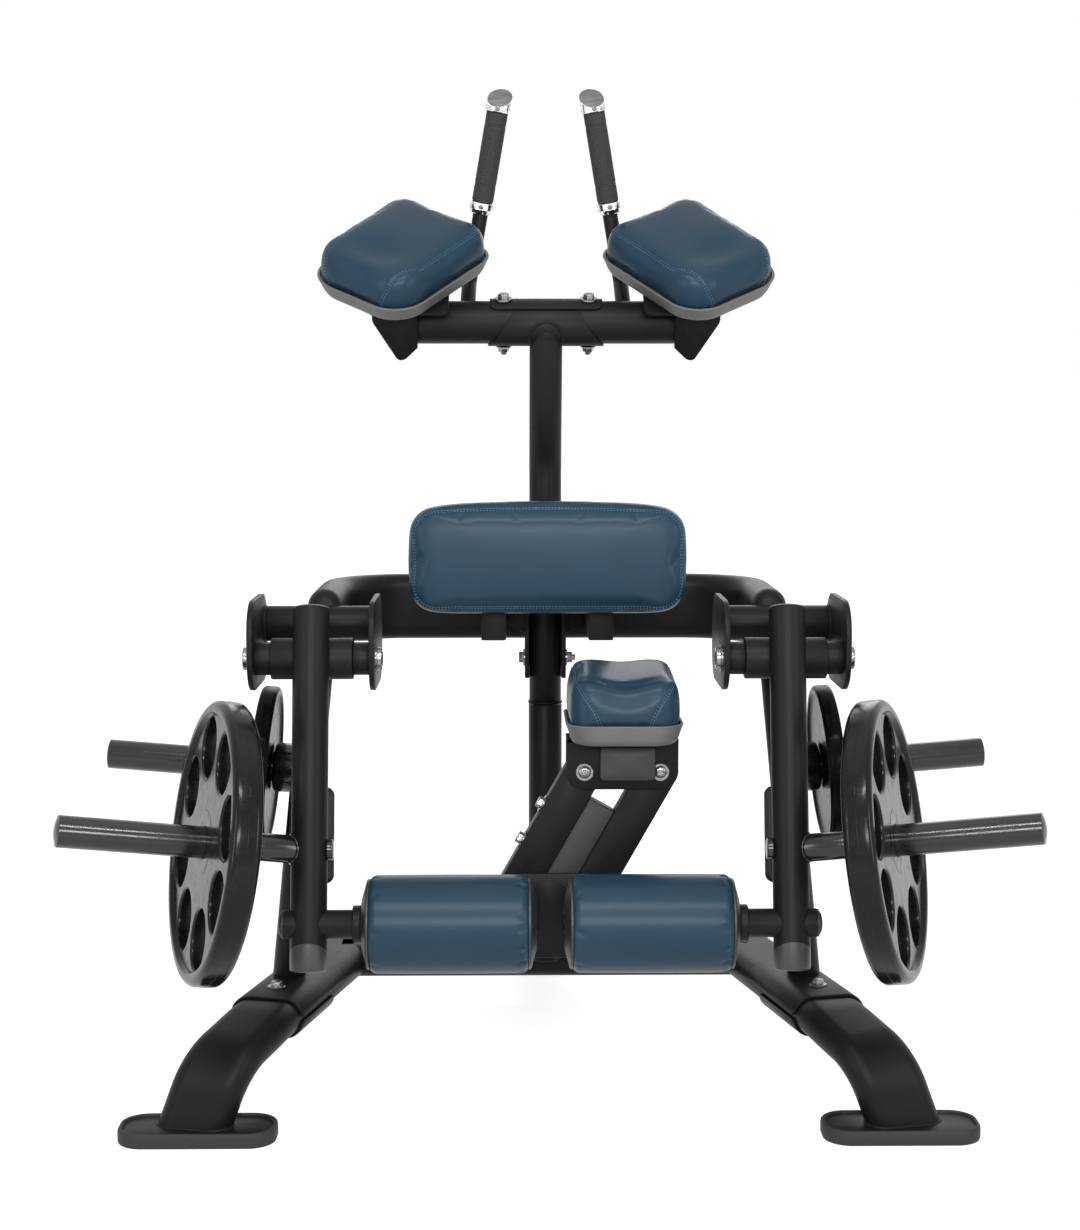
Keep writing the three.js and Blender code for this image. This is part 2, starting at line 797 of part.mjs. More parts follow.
const shaftLong = bracketOuterX - bracketInnerX;
const spacerInner = housingInnerX - gap - bracketInnerX;
const spacerOuter = housingOuterX + gap - bracketInnerX;
const pivotShaft = turned(
  [
    [0, -pivotHeadThick - pivotNutThick],
    [pivotNutRadius, -pivotHeadThick - pivotNutThick],
    [pivotNutRadius, -pivotHeadThick],
    [pivotHeadRadius, -pivotHeadThick],
    [pivotHeadRadius, -gap],
    [pinRadius, -gap],
    [pinRadius, bracketThick + gap],
    [spacerRadius, bracketThick + gap],
    [spacerRadius, spacerInner],
    [sleeveRadius, spacerInner],
    [sleeveRadius, spacerOuter],
    [spacerRadius, spacerOuter],
    [spacerRadius, shaftLong - bracketThick - gap],
    [pinRadius, shaftLong - bracketThick - gap],
    [pinRadius, shaftLong + gap],
    [pivotHeadRadius, shaftLong + gap],
    [pivotHeadRadius, shaftLong + pivotHeadThick],
    [pivotNutRadius, shaftLong + pivotHeadThick],
    [pivotNutRadius, shaftLong + pivotHeadThick + pivotNutThick],
    [0, shaftLong + pivotHeadThick + pivotNutThick],
  ],
  point(bracketInnerX, 0, pivotZ),
  upX,
  smallSteps,
);
showPair("pivot_shaft", pivotShaft, zincSteel);

// Levers: a leaning tube coped into a cross housing, closed by a domed cap on top
const leverTop = leverAt(leverTopZ);
const leverLow = leverAt(leverEndBackZ - ovalShort);
const leverTube = roundTube(leverRadius, roundWall, [leverLow, leverTop], [], upX);
const leverCapTop = turned(
  [[0, -ovalWall], [leverRadius, -ovalWall], [leverRadius, 0], ...dome(leverRadius, 0, leverCapDome, domeSteps + 1)],
  leverTop,
  leverUp,
);
const housing = rod(housingRadius, point(housingInnerX, 0, pivotZ), point(housingOuterX, 0, pivotZ));
const housingBore = bore(
  sleeveRadius + gap,
  point(housingInnerX - overrun, 0, pivotZ),
  point(housingOuterX + overrun, 0, pivotZ),
);
const frontEdge = leverAt(leverEndFrontZ).addScaledVector(leverBack, -leverRadius);
const backEdge = leverAt(leverEndBackZ).addScaledVector(leverBack, leverRadius);
const endSlope = backEdge.clone().sub(frontEdge).normalize();
const endNormal = new THREE.Vector3().crossVectors(upX, endSlope);
if (endNormal.z < 0) endNormal.negate();
const endMiddle = frontEdge.clone().add(backEdge).divideScalar(2);
const axleY = leverAt(axleZ).y;
const axleHole = bore(
  axleSleeveRadius + gap,
  point(leverX - ovalLong, axleY, axleZ),
  point(leverX + ovalLong, axleY, axleZ),
);
const hornRoot = point(hornRootX, hornRootY, hornRootZ);
const hornAlong = point(hornAlongX, hornAlongY, hornAlongZ).normalize();
const hornLine = (s) => hornRoot.clone().addScaledVector(hornAlong, s);
const hornHole = bore(stubRadius + gap, hornRoot, hornLine(ovalLong));
const boltStart = point(leverX - leverRadius - gap - leverBoltThick, hornRootY, hornRootZ);
const boltHole = bore(leverBoltHoleRadius + gap, boltStart, hornLine(stubRadius), smallSteps);
const lever = join(leverTube, leverCapTop, housing)
  .subtract(housingBore)
  .subtract(axleHole)
  .subtract(hornHole)
  .subtract(boltHole)
  .trimByPlane(endNormal.toArray(), endNormal.dot(endMiddle));
showPair("lever", lever, satinBlack);

const plugRadius = roundBore(leverRadius, roundWall) * Math.cos(Math.PI / boreSteps) - gap;
const capPlug = rod(plugRadius, leverAt(leverEndBackZ - ovalShort), leverAt(leverEndFrontZ + ovalShort / 2))
  .trimByPlane(endNormal.toArray(), endNormal.dot(endMiddle) - leverCapDome)
  .trimByPlane(endNormal.clone().negate().toArray(), -endNormal.dot(endMiddle) - footPlateThick);
const capLid = turned(
  [
    [0, 0],
    [leverRadius - leverPlugRound, 0],
    [leverRadius, leverPlugRound],
    [leverRadius, leverPlugTall],
    [0, leverPlugTall],
  ],
  leverAt(leverPlugZ),
  leverUp,
).trimByPlane(endNormal.clone().negate().toArray(), -endNormal.dot(endMiddle) + gap);
showPair("lever_cap", join(capLid, capPlug), greyPlastic);

// Lever horns and weight plates
const stubLong = sleeveStart;
const hornStub = turned(
  [
    [0, gap],
    [stubRadius, gap],
    [stubRadius, stubLong],
    [hornRadius, stubLong],
    [hornRadius, hornLength - gap * 5],
    ...dome(hornRadius - gap * 5, hornLength - gap * 5, hornCapDome, domeSteps),
  ],
  hornRoot,
  hornAlong,
);
const hornBolt = join(
  rod(leverBoltRadius, boltStart, boltStart.clone().setX(boltStart.x + leverBoltThick), smallSteps),
  rod(leverBoltHoleRadius, boltStart.clone().setX(boltStart.x + overrun), hornLine(stubRadius), smallSteps),
);
const hornBody = join(hornStub, hornBolt);
const hornCore = turned(
  [[0, stubLong], [hornRadius - hornWall, stubLong], [hornRadius - hornWall, hornLength - hornWall], [0, hornLength - hornWall]],
  hornRoot,
  hornAlong,
  smallSteps,
);
const hornVent = rod(hornWall, hornLine(-ovalShort), hornLine(stubLong + overrun), boreSteps);
showPair("lever_horn", hornBody.subtract(hornCore).subtract(hornVent), satinBlack);

const weightPlace = placed(hornLine(weightFaceAt - weightThick), hornAlong, upY);
let weight = weightPlate(weightRadius, weightThick, weightPlace);
for (let i = 0; i < gripCount; i += 1) {
  const angle = ((i + 0.5) * Math.PI * 2) / gripCount;
  const spot = point(gripRing * Math.cos(angle), gripRing * Math.sin(angle), -overrun);
  const hole = slab(circle(gripHoleRadius), weightThick + 2 * overrun, new THREE.Matrix4().setPosition(spot), holeSteps);
  weight = weight.subtract(turnedBlock(hole, weightPlace));
}
showPair("weight_plate", weight, glossBlack);

// Rollers on their axles
const axleFace = leverRadius + gap;
const axle = turned(
  [
    [0, axleInnerX],
    [axleWasherRadius, axleInnerX],
    [axleWasherRadius, rollerInnerX - discRise - gap * 2],
    [axlePinRadius, rollerInnerX - discRise - gap * 2],
    [axlePinRadius, rollerOuterX + discRise + gap * 2],
    [axleCollarRadius, rollerOuterX + discRise + gap * 2],
    [axleCollarRadius, axleCollarEndX],
    [axleSleeveRadius, axleCollarEndX],
    [axleSleeveRadius, axleOuterX],
    [axleWasherRadius, axleOuterX],
    [axleWasherRadius, axleHeadEndX],
    [0, axleHeadEndX],
  ],
  point(0, axleY, axleZ),
  upX,
);
showPair("roller_axle", axle, satinBlack);

const boreRadius = (axlePinRadius + gap) / Math.cos(Math.PI / roundSteps);
const rollerCore = turned(
  [
    [boreRadius, rollerInnerX - discRise],
    [discHubRadius, rollerInnerX - discRise],
    [discRadius, rollerInnerX - gap - discWall],
    [discRadius, rollerInnerX - gap],
    [coreRadius, rollerInnerX - gap],
    [coreRadius, rollerOuterX + gap],
    [discRadius, rollerOuterX + gap],
    [discRadius, rollerOuterX + gap + discWall],
    [discHubRadius, rollerOuterX + discRise],
    [boreRadius, rollerOuterX + discRise],
    [boreRadius, rollerInnerX - discRise],
  ],
  point(0, axleY, axleZ),
  upX,
);
showPair("roller_core", rollerCore, greyPlastic);

const rollerCushion = turned(
  [
    [coreRadius + gap, rollerInnerX],
    [rollerRadius - rollerRound, rollerInnerX],
    [rollerRadius - rollerRound * 0.29, rollerInnerX + rollerRound * 0.29],
    [rollerRadius, rollerInnerX + rollerRound],
    [rollerRadius, rollerOuterX - rollerRound],
    [rollerRadius - rollerRound * 0.29, rollerOuterX - rollerRound * 0.29],
    [rollerRadius - rollerRound, rollerOuterX],
    [coreRadius + gap, rollerOuterX],
    [coreRadius + gap, rollerInnerX],
  ],
  point(0, axleY, axleZ),
  upX,
);
showPair("roller_cushion", rollerCushion, blueVinyl);

// Post: flat oval below, round above, with the lower saddle on its leaning top
const lowerLine = [point(0, postY, beamZ), point(0, postY, postStepZ)];
const postLower = ovalTube(lowerLine, [], upY).subtract(crossFat);
const stepPlate = swept(oval(0), [point(0, postY, postStepZ - postStepPlate), point(0, postY, postStepZ)], [], upY);
show("post_lower", join(postLower, stepPlate), satinBlack);

const upperUp = point(0, -Math.sin(upperTilt), Math.cos(upperTilt));
const upperBack = point(0, Math.cos(upperTilt), Math.sin(upperTilt));
const barMiddle = point(0, barY, barZ);
const bendPoint = point(0, postUpperY, postBendZ);
const upperEnd = bendPoint.clone().addScaledVector(upperUp, (barZ - postBendZ) / upperUp.z);
const upperLine = [point(0, postUpperY, postStepZ + gap), bendPoint, upperEnd];
const barFat = bore(barRadius + gap, point(-barHalf, barY, barZ), point(barHalf, barY, barZ));
const saddleOuter = barRadius + gap + capThick;
const upperFrame = placed(barMiddle, upperUp, upX);
const bandPlace = placed(barMiddle, upX, upperUp);
function band(inner, outer, half, from, to) {
  const shape = new THREE.Shape();
  shape.absarc(0, 0, outer, from, to);
  shape.absarc(0, 0, inner / Math.cos(Math.PI / plateSteps), to, from, true);
  const place = bandPlace.clone().multiply(new THREE.Matrix4().setPosition(0, 0, -half));
  return slab(shape, 2 * half, place, Math.ceil((plateSteps * (to - from)) / (2 * Math.PI)));
}
const lowSaddleHigh = -saddleOuter * Math.cos(lowSaddleAngle);
const lowBand = band(barRadius + gap, saddleOuter, lowSaddleBottom, Math.PI - lowSaddleAngle, Math.PI + lowSaddleAngle);
const lowTrim = slab(
  outline([
    [-lowSaddleBottom, -saddleOuter],
    [lowSaddleBottom, -saddleOuter],
    [lowSaddleTop, lowSaddleHigh],
    [-lowSaddleTop, lowSaddleHigh],
  ]),
  4 * saddleOuter,
  placed(barMiddle.clone().addScaledVector(upperBack, 2 * saddleOuter), upperBack.clone().negate(), upX),
);
const lowTrimUp = turnedBlock(lowTrim, new THREE.Matrix4());
const postUpper = roundTube(postRadius, roundWall, upperLine, [postBend], upX).subtract(barFat);
show("post_upper", join(postUpper, lowBand.intersect(lowTrimUp)), satinBlack);

const capBand = band(barRadius + gap, saddleOuter, capHalf, -capHalfAngle, capHalfAngle);
const capTrim = slab(
  roundedBox(2 * capHalf, 2 * saddleOuter * Math.sin(capHalfAngle), capCorner),
  2 * saddleOuter,
  upperFrame,
);
show("saddle_cap", capBand.intersect(capTrim), satinBlack);

// Hoop clamp round the post
function clampCheekAt(side) {
  const low = Math.min(side * (postRadius + gap), side * (postRadius + gap + clampCheek));
  const shape = roundedBox(hoopBackY - ovalShort / 2 - gap - clampFrontY, clampHighZ - clampLowZ, clampCorner);
  const middle = point(low, (hoopBackY - ovalShort / 2 - gap + clampFrontY) / 2, (clampHighZ + clampLowZ) / 2);
  return slab(shape, clampCheek, placed(middle, upX, upY));
}
const clampBackY = hoopBackY - ovalShort / 2 - gap;
const clampEdge = postRadius + gap + clampCheek;
const clampWebPlate = block(
  point(-clampEdge, clampBackY - clampWeb, clampLowZ + clampCorner),
  point(clampEdge, clampBackY, clampHighZ - clampCorner),
);
const clampWing = slab(
  outline([
    [-clampWingX, clampWingLowZ + clampCorner],
    [-clampEdge, clampWingLowZ],
    [clampEdge, clampWingLowZ],
    [clampWingX, clampWingLowZ + clampCorner],
    [clampWingX, clampHighZ - clampCorner],
    [-clampWingX, clampHighZ - clampCorner],
  ]),
  clampWeb,
  new THREE.Matrix4().makeBasis(upX, upZ, upY.clone().negate()).setPosition(0, clampBackY, 0),
);
show("hoop_clamp", join(clampCheekAt(1), clampCheekAt(-1), clampWebPlate, clampWing), satinBlack);

// Crossbar with the two pad supports
const padUp = point(0, -Math.sin(padTilt), Math.cos(padTilt));
const padBack = point(0, Math.cos(padTilt), Math.sin(padTilt));
const elbowTopPoint = point(elbowX, elbowY, elbowZ);
const padLong = point(-Math.cos(padTurn), 0, 0).addScaledVector(padBack, Math.sin(padTurn));
const elbowDown = (depth) => elbowTopPoint.clone().addScaledVector(padUp, -depth);
const trayBottom = elbowThick + gap - trayLipTall + trayTall;
const supportTop = trayBottom + gap;
const supportHeight = elbowDown(supportTop).sub(barMiddle).dot(padUp);
const supportFrame = (v, n) => barMiddle.clone().addScaledVector(padBack, v).addScaledVector(padUp, n);
const supportPlate = slab(
  roundedBox(supportOuterX - supportInnerX, 2 * supportHalf, bracketThick),
  supportThick,
  placed(supportFrame(0, supportHeight - supportThick).setX((supportInnerX + supportOuterX) / 2), padUp, upX),
);
const gussetTopZ = supportHeight - supportThick / 2;
const gussetShape = outline([
  [supportInnerX, gussetTopZ],
  [supportInnerX, gussetTopZ - gussetInset],
  [gussetTipX - gussetTipHalf, -gussetTipDown],
  [gussetTipX + gussetTipHalf, -gussetTipDown],
  [supportOuterX, gussetTopZ - gussetInset],
  [supportOuterX, gussetTopZ],
]);
const gussetPlace = new THREE.Matrix4().makeBasis(upX, padUp, padBack.clone().negate());
const gusset = slab(gussetShape, gussetThick, gussetPlace.clone().setPosition(supportFrame(-barRadius + gussetThick / 2, 0)));
const cheekShape = outline([
  [supportInnerX, gussetTopZ],
  [supportInnerX + gussetInset, -cheekDown],
  [supportOuterX - gussetInset * 4, -cheekDown],
  [supportOuterX, gussetTopZ],
]);
const cheek = slab(cheekShape, gussetThick, gussetPlace.clone().setPosition(supportFrame(barRadius - gussetThick / 2, 0)));
const barTube = roundTube(barRadius, barWall, [point(-barHalf, barY, barZ), point(barHalf, barY, barZ)], [], upZ);
const barFill = rod(barRadius - barWall / 2, point(-barHalf - ovalLong, barY, barZ), point(barHalf + ovalLong, barY, barZ));
const padSupport = join(supportPlate, gusset, cheek).subtract(barFill);
show("crossbar", join(barTube, padSupport, padSupport.mirror(mirrorLeft)), satinBlack);

// Elbow trays and cushions
const trayPlace = placed(elbowDown(trayBottom), padUp, padLong);
const trayLong = elbowLong + 2 * trayLip;
const trayWide = elbowWide + 2 * trayLip;
const trayBody = padded(trayLong, trayWide, elbowCorner + trayLip, trayTall + trayRound, trayRound, trayPlace)
  .trimByPlane(padUp.clone().negate().toArray(), -padUp.dot(elbowDown(trayBottom - trayTall)));
const elbowSeat = slab(
  roundedBox(elbowLong + 2 * gap, elbowWide + 2 * gap, elbowCorner + gap),
  trayTall,
  placed(elbowDown(elbowThick + gap), padUp, padLong),
);
showPair("elbow_tray", trayBody.subtract(elbowSeat), greyPlastic);
const elbowCushion = padded(
  elbowLong,
  elbowWide,
  elbowCorner,
  elbowThick + elbowRound,
  elbowRound,
  placed(elbowDown(elbowThick + elbowRound), padUp, padLong),
).trimByPlane(padUp.toArray(), padUp.dot(elbowDown(elbowThick)));
showPair("elbow_cushion", elbowCushion, blueVinyl);

// Handles with their grips
const handleTop = point(handleTopX, handleTopY, barZ + handleTopRise);
const handleTurn = point(handleTurnX, handleTurnY, barZ + handleTurnRise);
const handleCollar = handleTurn.clone().lerp(handleTop, handleCollarShare);
const handleEnd = point(handleEndX, barY, barZ);
const handleUp = handleTop.clone().sub(handleCollar).normalize();
const handleLong = handleTop.distanceTo(handleCollar);
const handleSide = new THREE.Vector3().crossVectors(handleUp, handleEnd.clone().sub(handleTurn)).normalize();
const barClear = rod(barRadius + 2 * gap, point(-barHalf, barY, barZ), point(barHalf, barY, barZ), plateSteps);
const handleLine = [handleTop, handleTurn, handleEnd];
const handleCore = swept(circle(handleCoreRadius), handleLine, [handleBend], handleSide, smallSteps / 2)
  .subtract(barClear);
const collar = turned(
  [[0, 0], [collarNeckRadius, 0], [collarRadius, collarTall * 0.4], [collarRadius, collarTall], [0, collarTall]],
  handleCollar,
  handleUp,
);
const capStart = handleLong - handleCapTall / 2;
const handleCap = turned(
  [[0, capStart], [handleCapRadius, capStart], [handleCapRadius, handleLong + handleCapTall], [0, handleLong + handleCapTall]],
  handleCollar,
  handleUp,
);
const capCut = point(0, 1, 1).normalize();
const cutAt = handleTop.clone().addScaledVector(handleUp, 0);
const handle = join(handleCore, collar, handleCap).trimByPlane(
  point(0, 1, -1).normalize().toArray(),
  point(0, 1, -1).normalize().dot(cutAt),
);
showPair("handle", handle, brightChrome);

const gripBore = (handleCoreRadius + gap) / Math.cos(Math.PI / roundSteps);
const gripLow = collarTall + gap;
const gripHigh = capStart - gap;
const handleGrip = turned(
  [
    [gripBore, gripLow],
    [gripRadius - gripRound, gripLow],
    [gripRadius, gripLow + gripRound],
    [gripRadius, gripHigh - gripRound],
    [gripRadius - gripRound, gripHigh],
    [gripBore, gripHigh],
    [gripBore, gripLow],
  ],
  handleCollar,
  handleUp,
);
showPair("handle_grip", handleGrip, darkRubber);

// Thigh pad and the frame behind it
const thighMiddleZ = (thighLowZ + thighHighZ) / 2;
const thighBackY = thighFrontY + thighThick;
const facing = upY.clone().negate();
const thighCushion = padded(
  2 * thighHalf,
  thighHighZ - thighLowZ,
  thighCorner,
  thighThick + thighRound,
  thighRound,
  placed(point(0, thighBackY + thighRound, thighMiddleZ), facing, upX),
).trimByPlane(facing.toArray(), -thighBackY);
show("thigh_cushion", thighCushion, blueVinyl);

const plateFrontY = thighBackY + gap;
const backPlate = slab(
  roundedBox(2 * backPlateHalf, 2 * backPlateHalfTall, thighCorner),
  backPlateThick,
  placed(point(0, plateFrontY, thighMiddleZ), upY, upX),
);
const armBackY = hoopBackY - ovalShort / 2 - gap;
const armFrontY = plateFrontY + backPlateThick / 2;
const armSide = [
  [armFrontY, thighArmLowZ],
  [armBackY, thighArmLowZ],
  [armBackY, thighArmHighZ],
  [armFrontY + thighArmKnee, thighArmHighZ],
  [armFrontY + backPlateThick, thighArmTopZ],
  [armFrontY, thighArmTopZ],
];
const armCore = [
  [armFrontY + backPlateThick, thighArmLowZ + thighArmWall],
  [armBackY + overrun, thighArmLowZ + thighArmWall],
  [armBackY + overrun, thighArmHighZ - thighArmWall],
  [armFrontY + backPlateThick, thighArmHighZ - thighArmWall],
];
const sideways = new THREE.Matrix4().makeBasis(upY, upZ, upX);
const armWide = thighArmOuterX - thighArmInnerX;
const thighArm = slab(outline(armSide), armWide, sideways.clone().setPosition(thighArmInnerX, 0, 0)).subtract(
  slab(outline(armCore), armWide - 2 * thighArmWall, sideways.clone().setPosition(thighArmInnerX + thighArmWall, 0, 0)),
);
show("thigh_frame", join(backPlate, thighArm, thighArm.mirror(mirrorLeft)), satinBlack);

// Knee linkage: two equal links between a fixed base and a level carriage
const linkFace = upY.clone().negate();
const flatPlace = new THREE.Matrix4().makeBasis(upX, upZ, linkFace);
const at = (y) => flatPlace.clone().setPosition(0, y, 0);
const rightX = linkLeftX + linkSpan;
const topLeftX = linkLeftX + linkShift;
const topRightX = topLeftX + linkSpan;
function capsule(x0, z0, x1, z1, radius) {
  const shape = new THREE.Shape();
  const turn = Math.atan2(z1 - z0, x1 - x0);
  shape.absarc(x1, z1, radius, turn - Math.PI / 2, turn + Math.PI / 2);
  shape.absarc(x0, z0, radius, turn + Math.PI / 2, turn + Math.PI * 1.5);
  return shape;
}
function link(x) {
  const shape = capsule(x, linkLowZ, x + linkShift, linkHighZ, linkWide / 2);
  const core = capsule(x, linkLowZ, x + linkShift, linkHighZ, linkWide / 2 - roundWall * 1.5);
  const skin = slab(shape, linkBackY - linkFrontY, at(linkBackY), linkEndSteps);
  const inner = slab(core, linkBackY - linkFrontY - roundWall * 3, at(linkBackY - roundWall * 1.5), boreCornerSteps);
  const ends = [point(x, linkFrontY, linkLowZ), point(x + linkShift, linkFrontY, linkHighZ)];
  const hubs = ends.map((p) => rod(linkHubRadius, p, p.clone().setY(linkBackY)));
  const bores = ends.map((p) =>
    bore(linkPinRadius + gap, p.clone().setY(linkFrontY - overrun), p.clone().setY(linkBackY + overrun), smallSteps),
  );
  const middle = point(x + linkShift / 2, linkBackY, (linkLowZ + linkHighZ) / 2);
  const vent = rod(hornWall * 2, middle.clone().setY(linkBackY - overrun * 2), middle.clone().setY(linkBackY + overrun), boreSteps);
  return join(skin.subtract(inner), ...hubs).subtract(join(...bores)).subtract(vent);
}
show("link_left", link(linkLeftX), satinBlack);
show("link_right", link(rightX), satinBlack);

const linkLean = point(linkShift, 0, linkHighZ - linkLowZ).normalize();
const linkOut = point(linkLean.z, 0, -linkLean.x);
const clearWide = linkSpan * linkLean.z - linkWide;
const blockMiddle = point(linkLeftX, (linkFrontY + linkBackY) / 2, linkLowZ)
  .addScaledVector(linkLean, linkLean.dot(point(linkShift, 0, linkHighZ - linkLowZ)) * stopBlockShare)
  .addScaledVector(linkOut, linkWide / 2 + seat);
const stopBlock = slab(
  roundedBox(stopBlockLong, stopBlockTall, overrun),
  clearWide - seat - gap,
  placed(blockMiddle, linkOut, linkLean),
);
show("stop_block", stopBlock, darkRubber);

function pins(x0, x1, z, frontY, backY) {
  return join(
    ...[x0, x1].map((x) =>
      turned(
        [
          [0, 0],
          [linkPinRadius, 0],
          [linkPinRadius, backY - frontY],
          [boltDomeRadius, backY - frontY],
          ...dome(boltDomeRadius, backY - frontY, boltDomeTall, domeSteps),
        ],
        point(x, backY, z),
        linkFace,
        smallSteps,
      ),
    ),
  );
}
const frontPlateY = linkFrontY - gap;
const backPlateY = linkBackY + gap;
const carriageLow = linkHighZ - carriageDown;
const carriageHigh = linkHighZ + carriageUp;
function carriagePlate(backY) {
  const shape = new THREE.Shape();
  const left = topLeftX - carriageEdge;
  const right = topRightX + carriageEdge;
  shape.moveTo(right, carriageHigh);
  shape.lineTo(left, carriageHigh);
  shape.absarc(left + carriageEdge, carriageLow + carriageEdge, carriageEdge, Math.PI, Math.PI * 1.5);
  shape.absarc(right - carriageEdge, carriageLow + carriageEdge, carriageEdge, Math.PI * 1.5, Math.PI * 2);
  return slab(shape, sidePlate, at(backY), cornerSteps);
}
const carriageMiddleX = (topLeftX + topRightX) / 2;
const carriageTop = block(
  point(topLeftX - carriageEdge, frontPlateY - sidePlate, carriageHigh - carriageWeb),
  point(topRightX + carriageEdge, backPlateY + sidePlate, carriageHigh),
);
const coverBox = padded(
  2 * coverHalf,
  coverHighZ - coverLowZ,
  coverRound * 2,
  coverDeep + coverRound,
  coverRound,
  placed(
    point(carriageMiddleX + coverShift, frontPlateY - sidePlate + coverRound, (coverLowZ + coverHighZ) / 2),
    linkFace,
    upX,
  ),
);
const carriagePins = pins(topLeftX, topRightX, linkHighZ, frontPlateY - sidePlate, backPlateY + sidePlate);
const carriage = join(carriagePlate(frontPlateY), carriagePlate(backPlateY + sidePlate), carriageTop, coverBox, carriagePins);
show("carriage", carriage, satinBlack);

function basePlate(backY) {
  const shape = new THREE.Shape();
  shape.moveTo(baseTopHalf + baseTopX / 2, baseHighZ);
  shape.lineTo(-baseTopHalf + baseTopX / 2, baseHighZ);
  shape.absarc(linkLeftX, linkLowZ, baseEdge, Math.PI * 0.6, Math.PI);
  shape.lineTo(linkLeftX - baseEdge, baseLowZ + baseEdge);
  shape.absarc(linkLeftX, baseLowZ + baseEdge, baseEdge, Math.PI, Math.PI * 1.5);
  shape.absarc(rightX, baseLowZ + baseEdge, baseEdge, Math.PI * 1.5, Math.PI * 2);
  shape.absarc(rightX, linkLowZ, baseEdge, 0, Math.PI * 0.4);
  return slab(shape, sidePlate, at(backY), cornerSteps);
}
const baseWeb = block(
  point(linkLeftX, frontPlateY - sidePlate / 2, baseLowZ),
  point(rightX, backPlateY + sidePlate / 2, baseLowZ + sidePlate),
);
const basePins = pins(linkLeftX, rightX, linkLowZ, frontPlateY - sidePlate, backPlateY + sidePlate);
const linkageBase = join(basePlate(frontPlateY), basePlate(backPlateY + sidePlate), baseWeb, basePins);
show("linkage_base", linkageBase, satinBlack);

// Spine from the post to the linkage base
const postFat = ovalFill(lowerLine, [], upY, gap, 0);
const spineLine = [point(0, backPlateY + sidePlate + gap, spineZ), point(0, postY, spineZ)];
show("spine", ovalTube(spineLine, [], upZ).subtract(postFat), satinBlack);

// Knee tray and cushion
const kneeX = carriageMiddleX;
const kneePlace = placed(point(kneeX, kneeY, kneeTrayZ), upZ, upX);
const kneeTray = padded(
  2 * (kneeHalfWide + trayLip),
  2 * (kneeHalfDeep + trayLip),
  kneeCorner + trayLip,
  kneeTrayTall + trayRound,
  trayRound,
  kneePlace,
).trimByPlane([0, 0, -1], -kneeTrayZ - kneeTrayTall);
const kneeSeatZ = kneeTrayZ + kneeTrayTall - trayLipTall;
const kneeWell = slab(
  roundedBox(2 * (kneeHalfWide + gap), 2 * (kneeHalfDeep + gap), kneeCorner + gap),
  kneeTrayTall,
  placed(point(kneeX, kneeY, kneeSeatZ), upZ, upX),
);
show("knee_tray", kneeTray.subtract(kneeWell), greyPlastic);
const kneeBottom = kneeSeatZ + gap;
const kneeBody = padded(
  2 * kneeHalfWide,
  2 * kneeHalfDeep,
  kneeCorner,
  kneeTopZ - kneeBottom + kneeRound,
  kneeRound,
  placed(point(kneeX, kneeY, kneeBottom - kneeRound), upZ, upX),
).trimByPlane([0, 0, 1], kneeBottom);
const dipRadius = (kneeHalfWide * kneeHalfWide * kneeDipShare) / (2 * kneeDip);
const kneeHollow = rod(
  dipRadius,
  point(kneeX, kneeY - kneeHalfDeep * 2, kneeTopZ - kneeDip + dipRadius),
  point(kneeX, kneeY + kneeHalfDeep * 2, kneeTopZ - kneeDip + dipRadius),
  plateSteps * 2,
);
show("knee_cushion", kneeBody.subtract(kneeHollow), blueVinyl);

// The origin goes to the middle of the footprint's box, on the floor.
const bounds = new THREE.Box3().setFromObject(machine);
const middle = bounds.getCenter(new THREE.Vector3());
machine.position.set(-middle.x, -middle.y, -bounds.min.z);

export default machine;
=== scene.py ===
"""Dresses the kneeling hamstring machine: pieces, upholstery, fasteners, finishes and a studio."""

import json

import bmesh
import bpy
import numpy as np
from bpy.props import FloatProperty, FloatVectorProperty, IntProperty, PointerProperty
from mathutils import Matrix, Vector

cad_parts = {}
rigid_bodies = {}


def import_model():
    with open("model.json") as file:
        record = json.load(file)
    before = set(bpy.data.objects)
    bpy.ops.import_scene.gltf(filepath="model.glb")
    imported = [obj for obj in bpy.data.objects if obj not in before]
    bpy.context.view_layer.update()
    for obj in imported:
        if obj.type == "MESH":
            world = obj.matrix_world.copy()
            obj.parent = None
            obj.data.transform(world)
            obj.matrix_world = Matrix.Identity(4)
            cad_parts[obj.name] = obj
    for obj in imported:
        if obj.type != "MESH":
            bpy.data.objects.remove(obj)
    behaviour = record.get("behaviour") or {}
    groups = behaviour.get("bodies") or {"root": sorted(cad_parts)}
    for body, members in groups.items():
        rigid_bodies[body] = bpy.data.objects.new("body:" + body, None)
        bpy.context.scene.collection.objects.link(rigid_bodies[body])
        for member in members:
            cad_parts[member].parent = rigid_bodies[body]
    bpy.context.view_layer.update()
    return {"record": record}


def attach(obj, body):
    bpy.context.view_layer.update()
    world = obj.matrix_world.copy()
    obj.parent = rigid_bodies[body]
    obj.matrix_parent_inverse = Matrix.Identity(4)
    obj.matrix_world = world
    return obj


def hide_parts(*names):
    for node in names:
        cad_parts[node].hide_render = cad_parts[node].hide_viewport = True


bl_info = {
    "name": "Kneeling Hamstring Machine",
    "version": (1, 0, 0),
    "blender": (4, 5, 0),
    "location": "View3D > Sidebar > Machine",
    "description": "Builds the visible pieces and finishes of a kneeling hamstring machine on its frame",
    "category": "Object",
}

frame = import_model()

TURN = 2 * np.pi
MIDDLE_Y = 333.6684  # how far the drawing's origin lies from the middle of the footprint, in millimetres
SIDES = (("left", -1.0), ("right", 1.0))
MIRROR = np.array([-1.0, 1.0, 1.0])
LEVER_LEAN = np.radians(12.0)


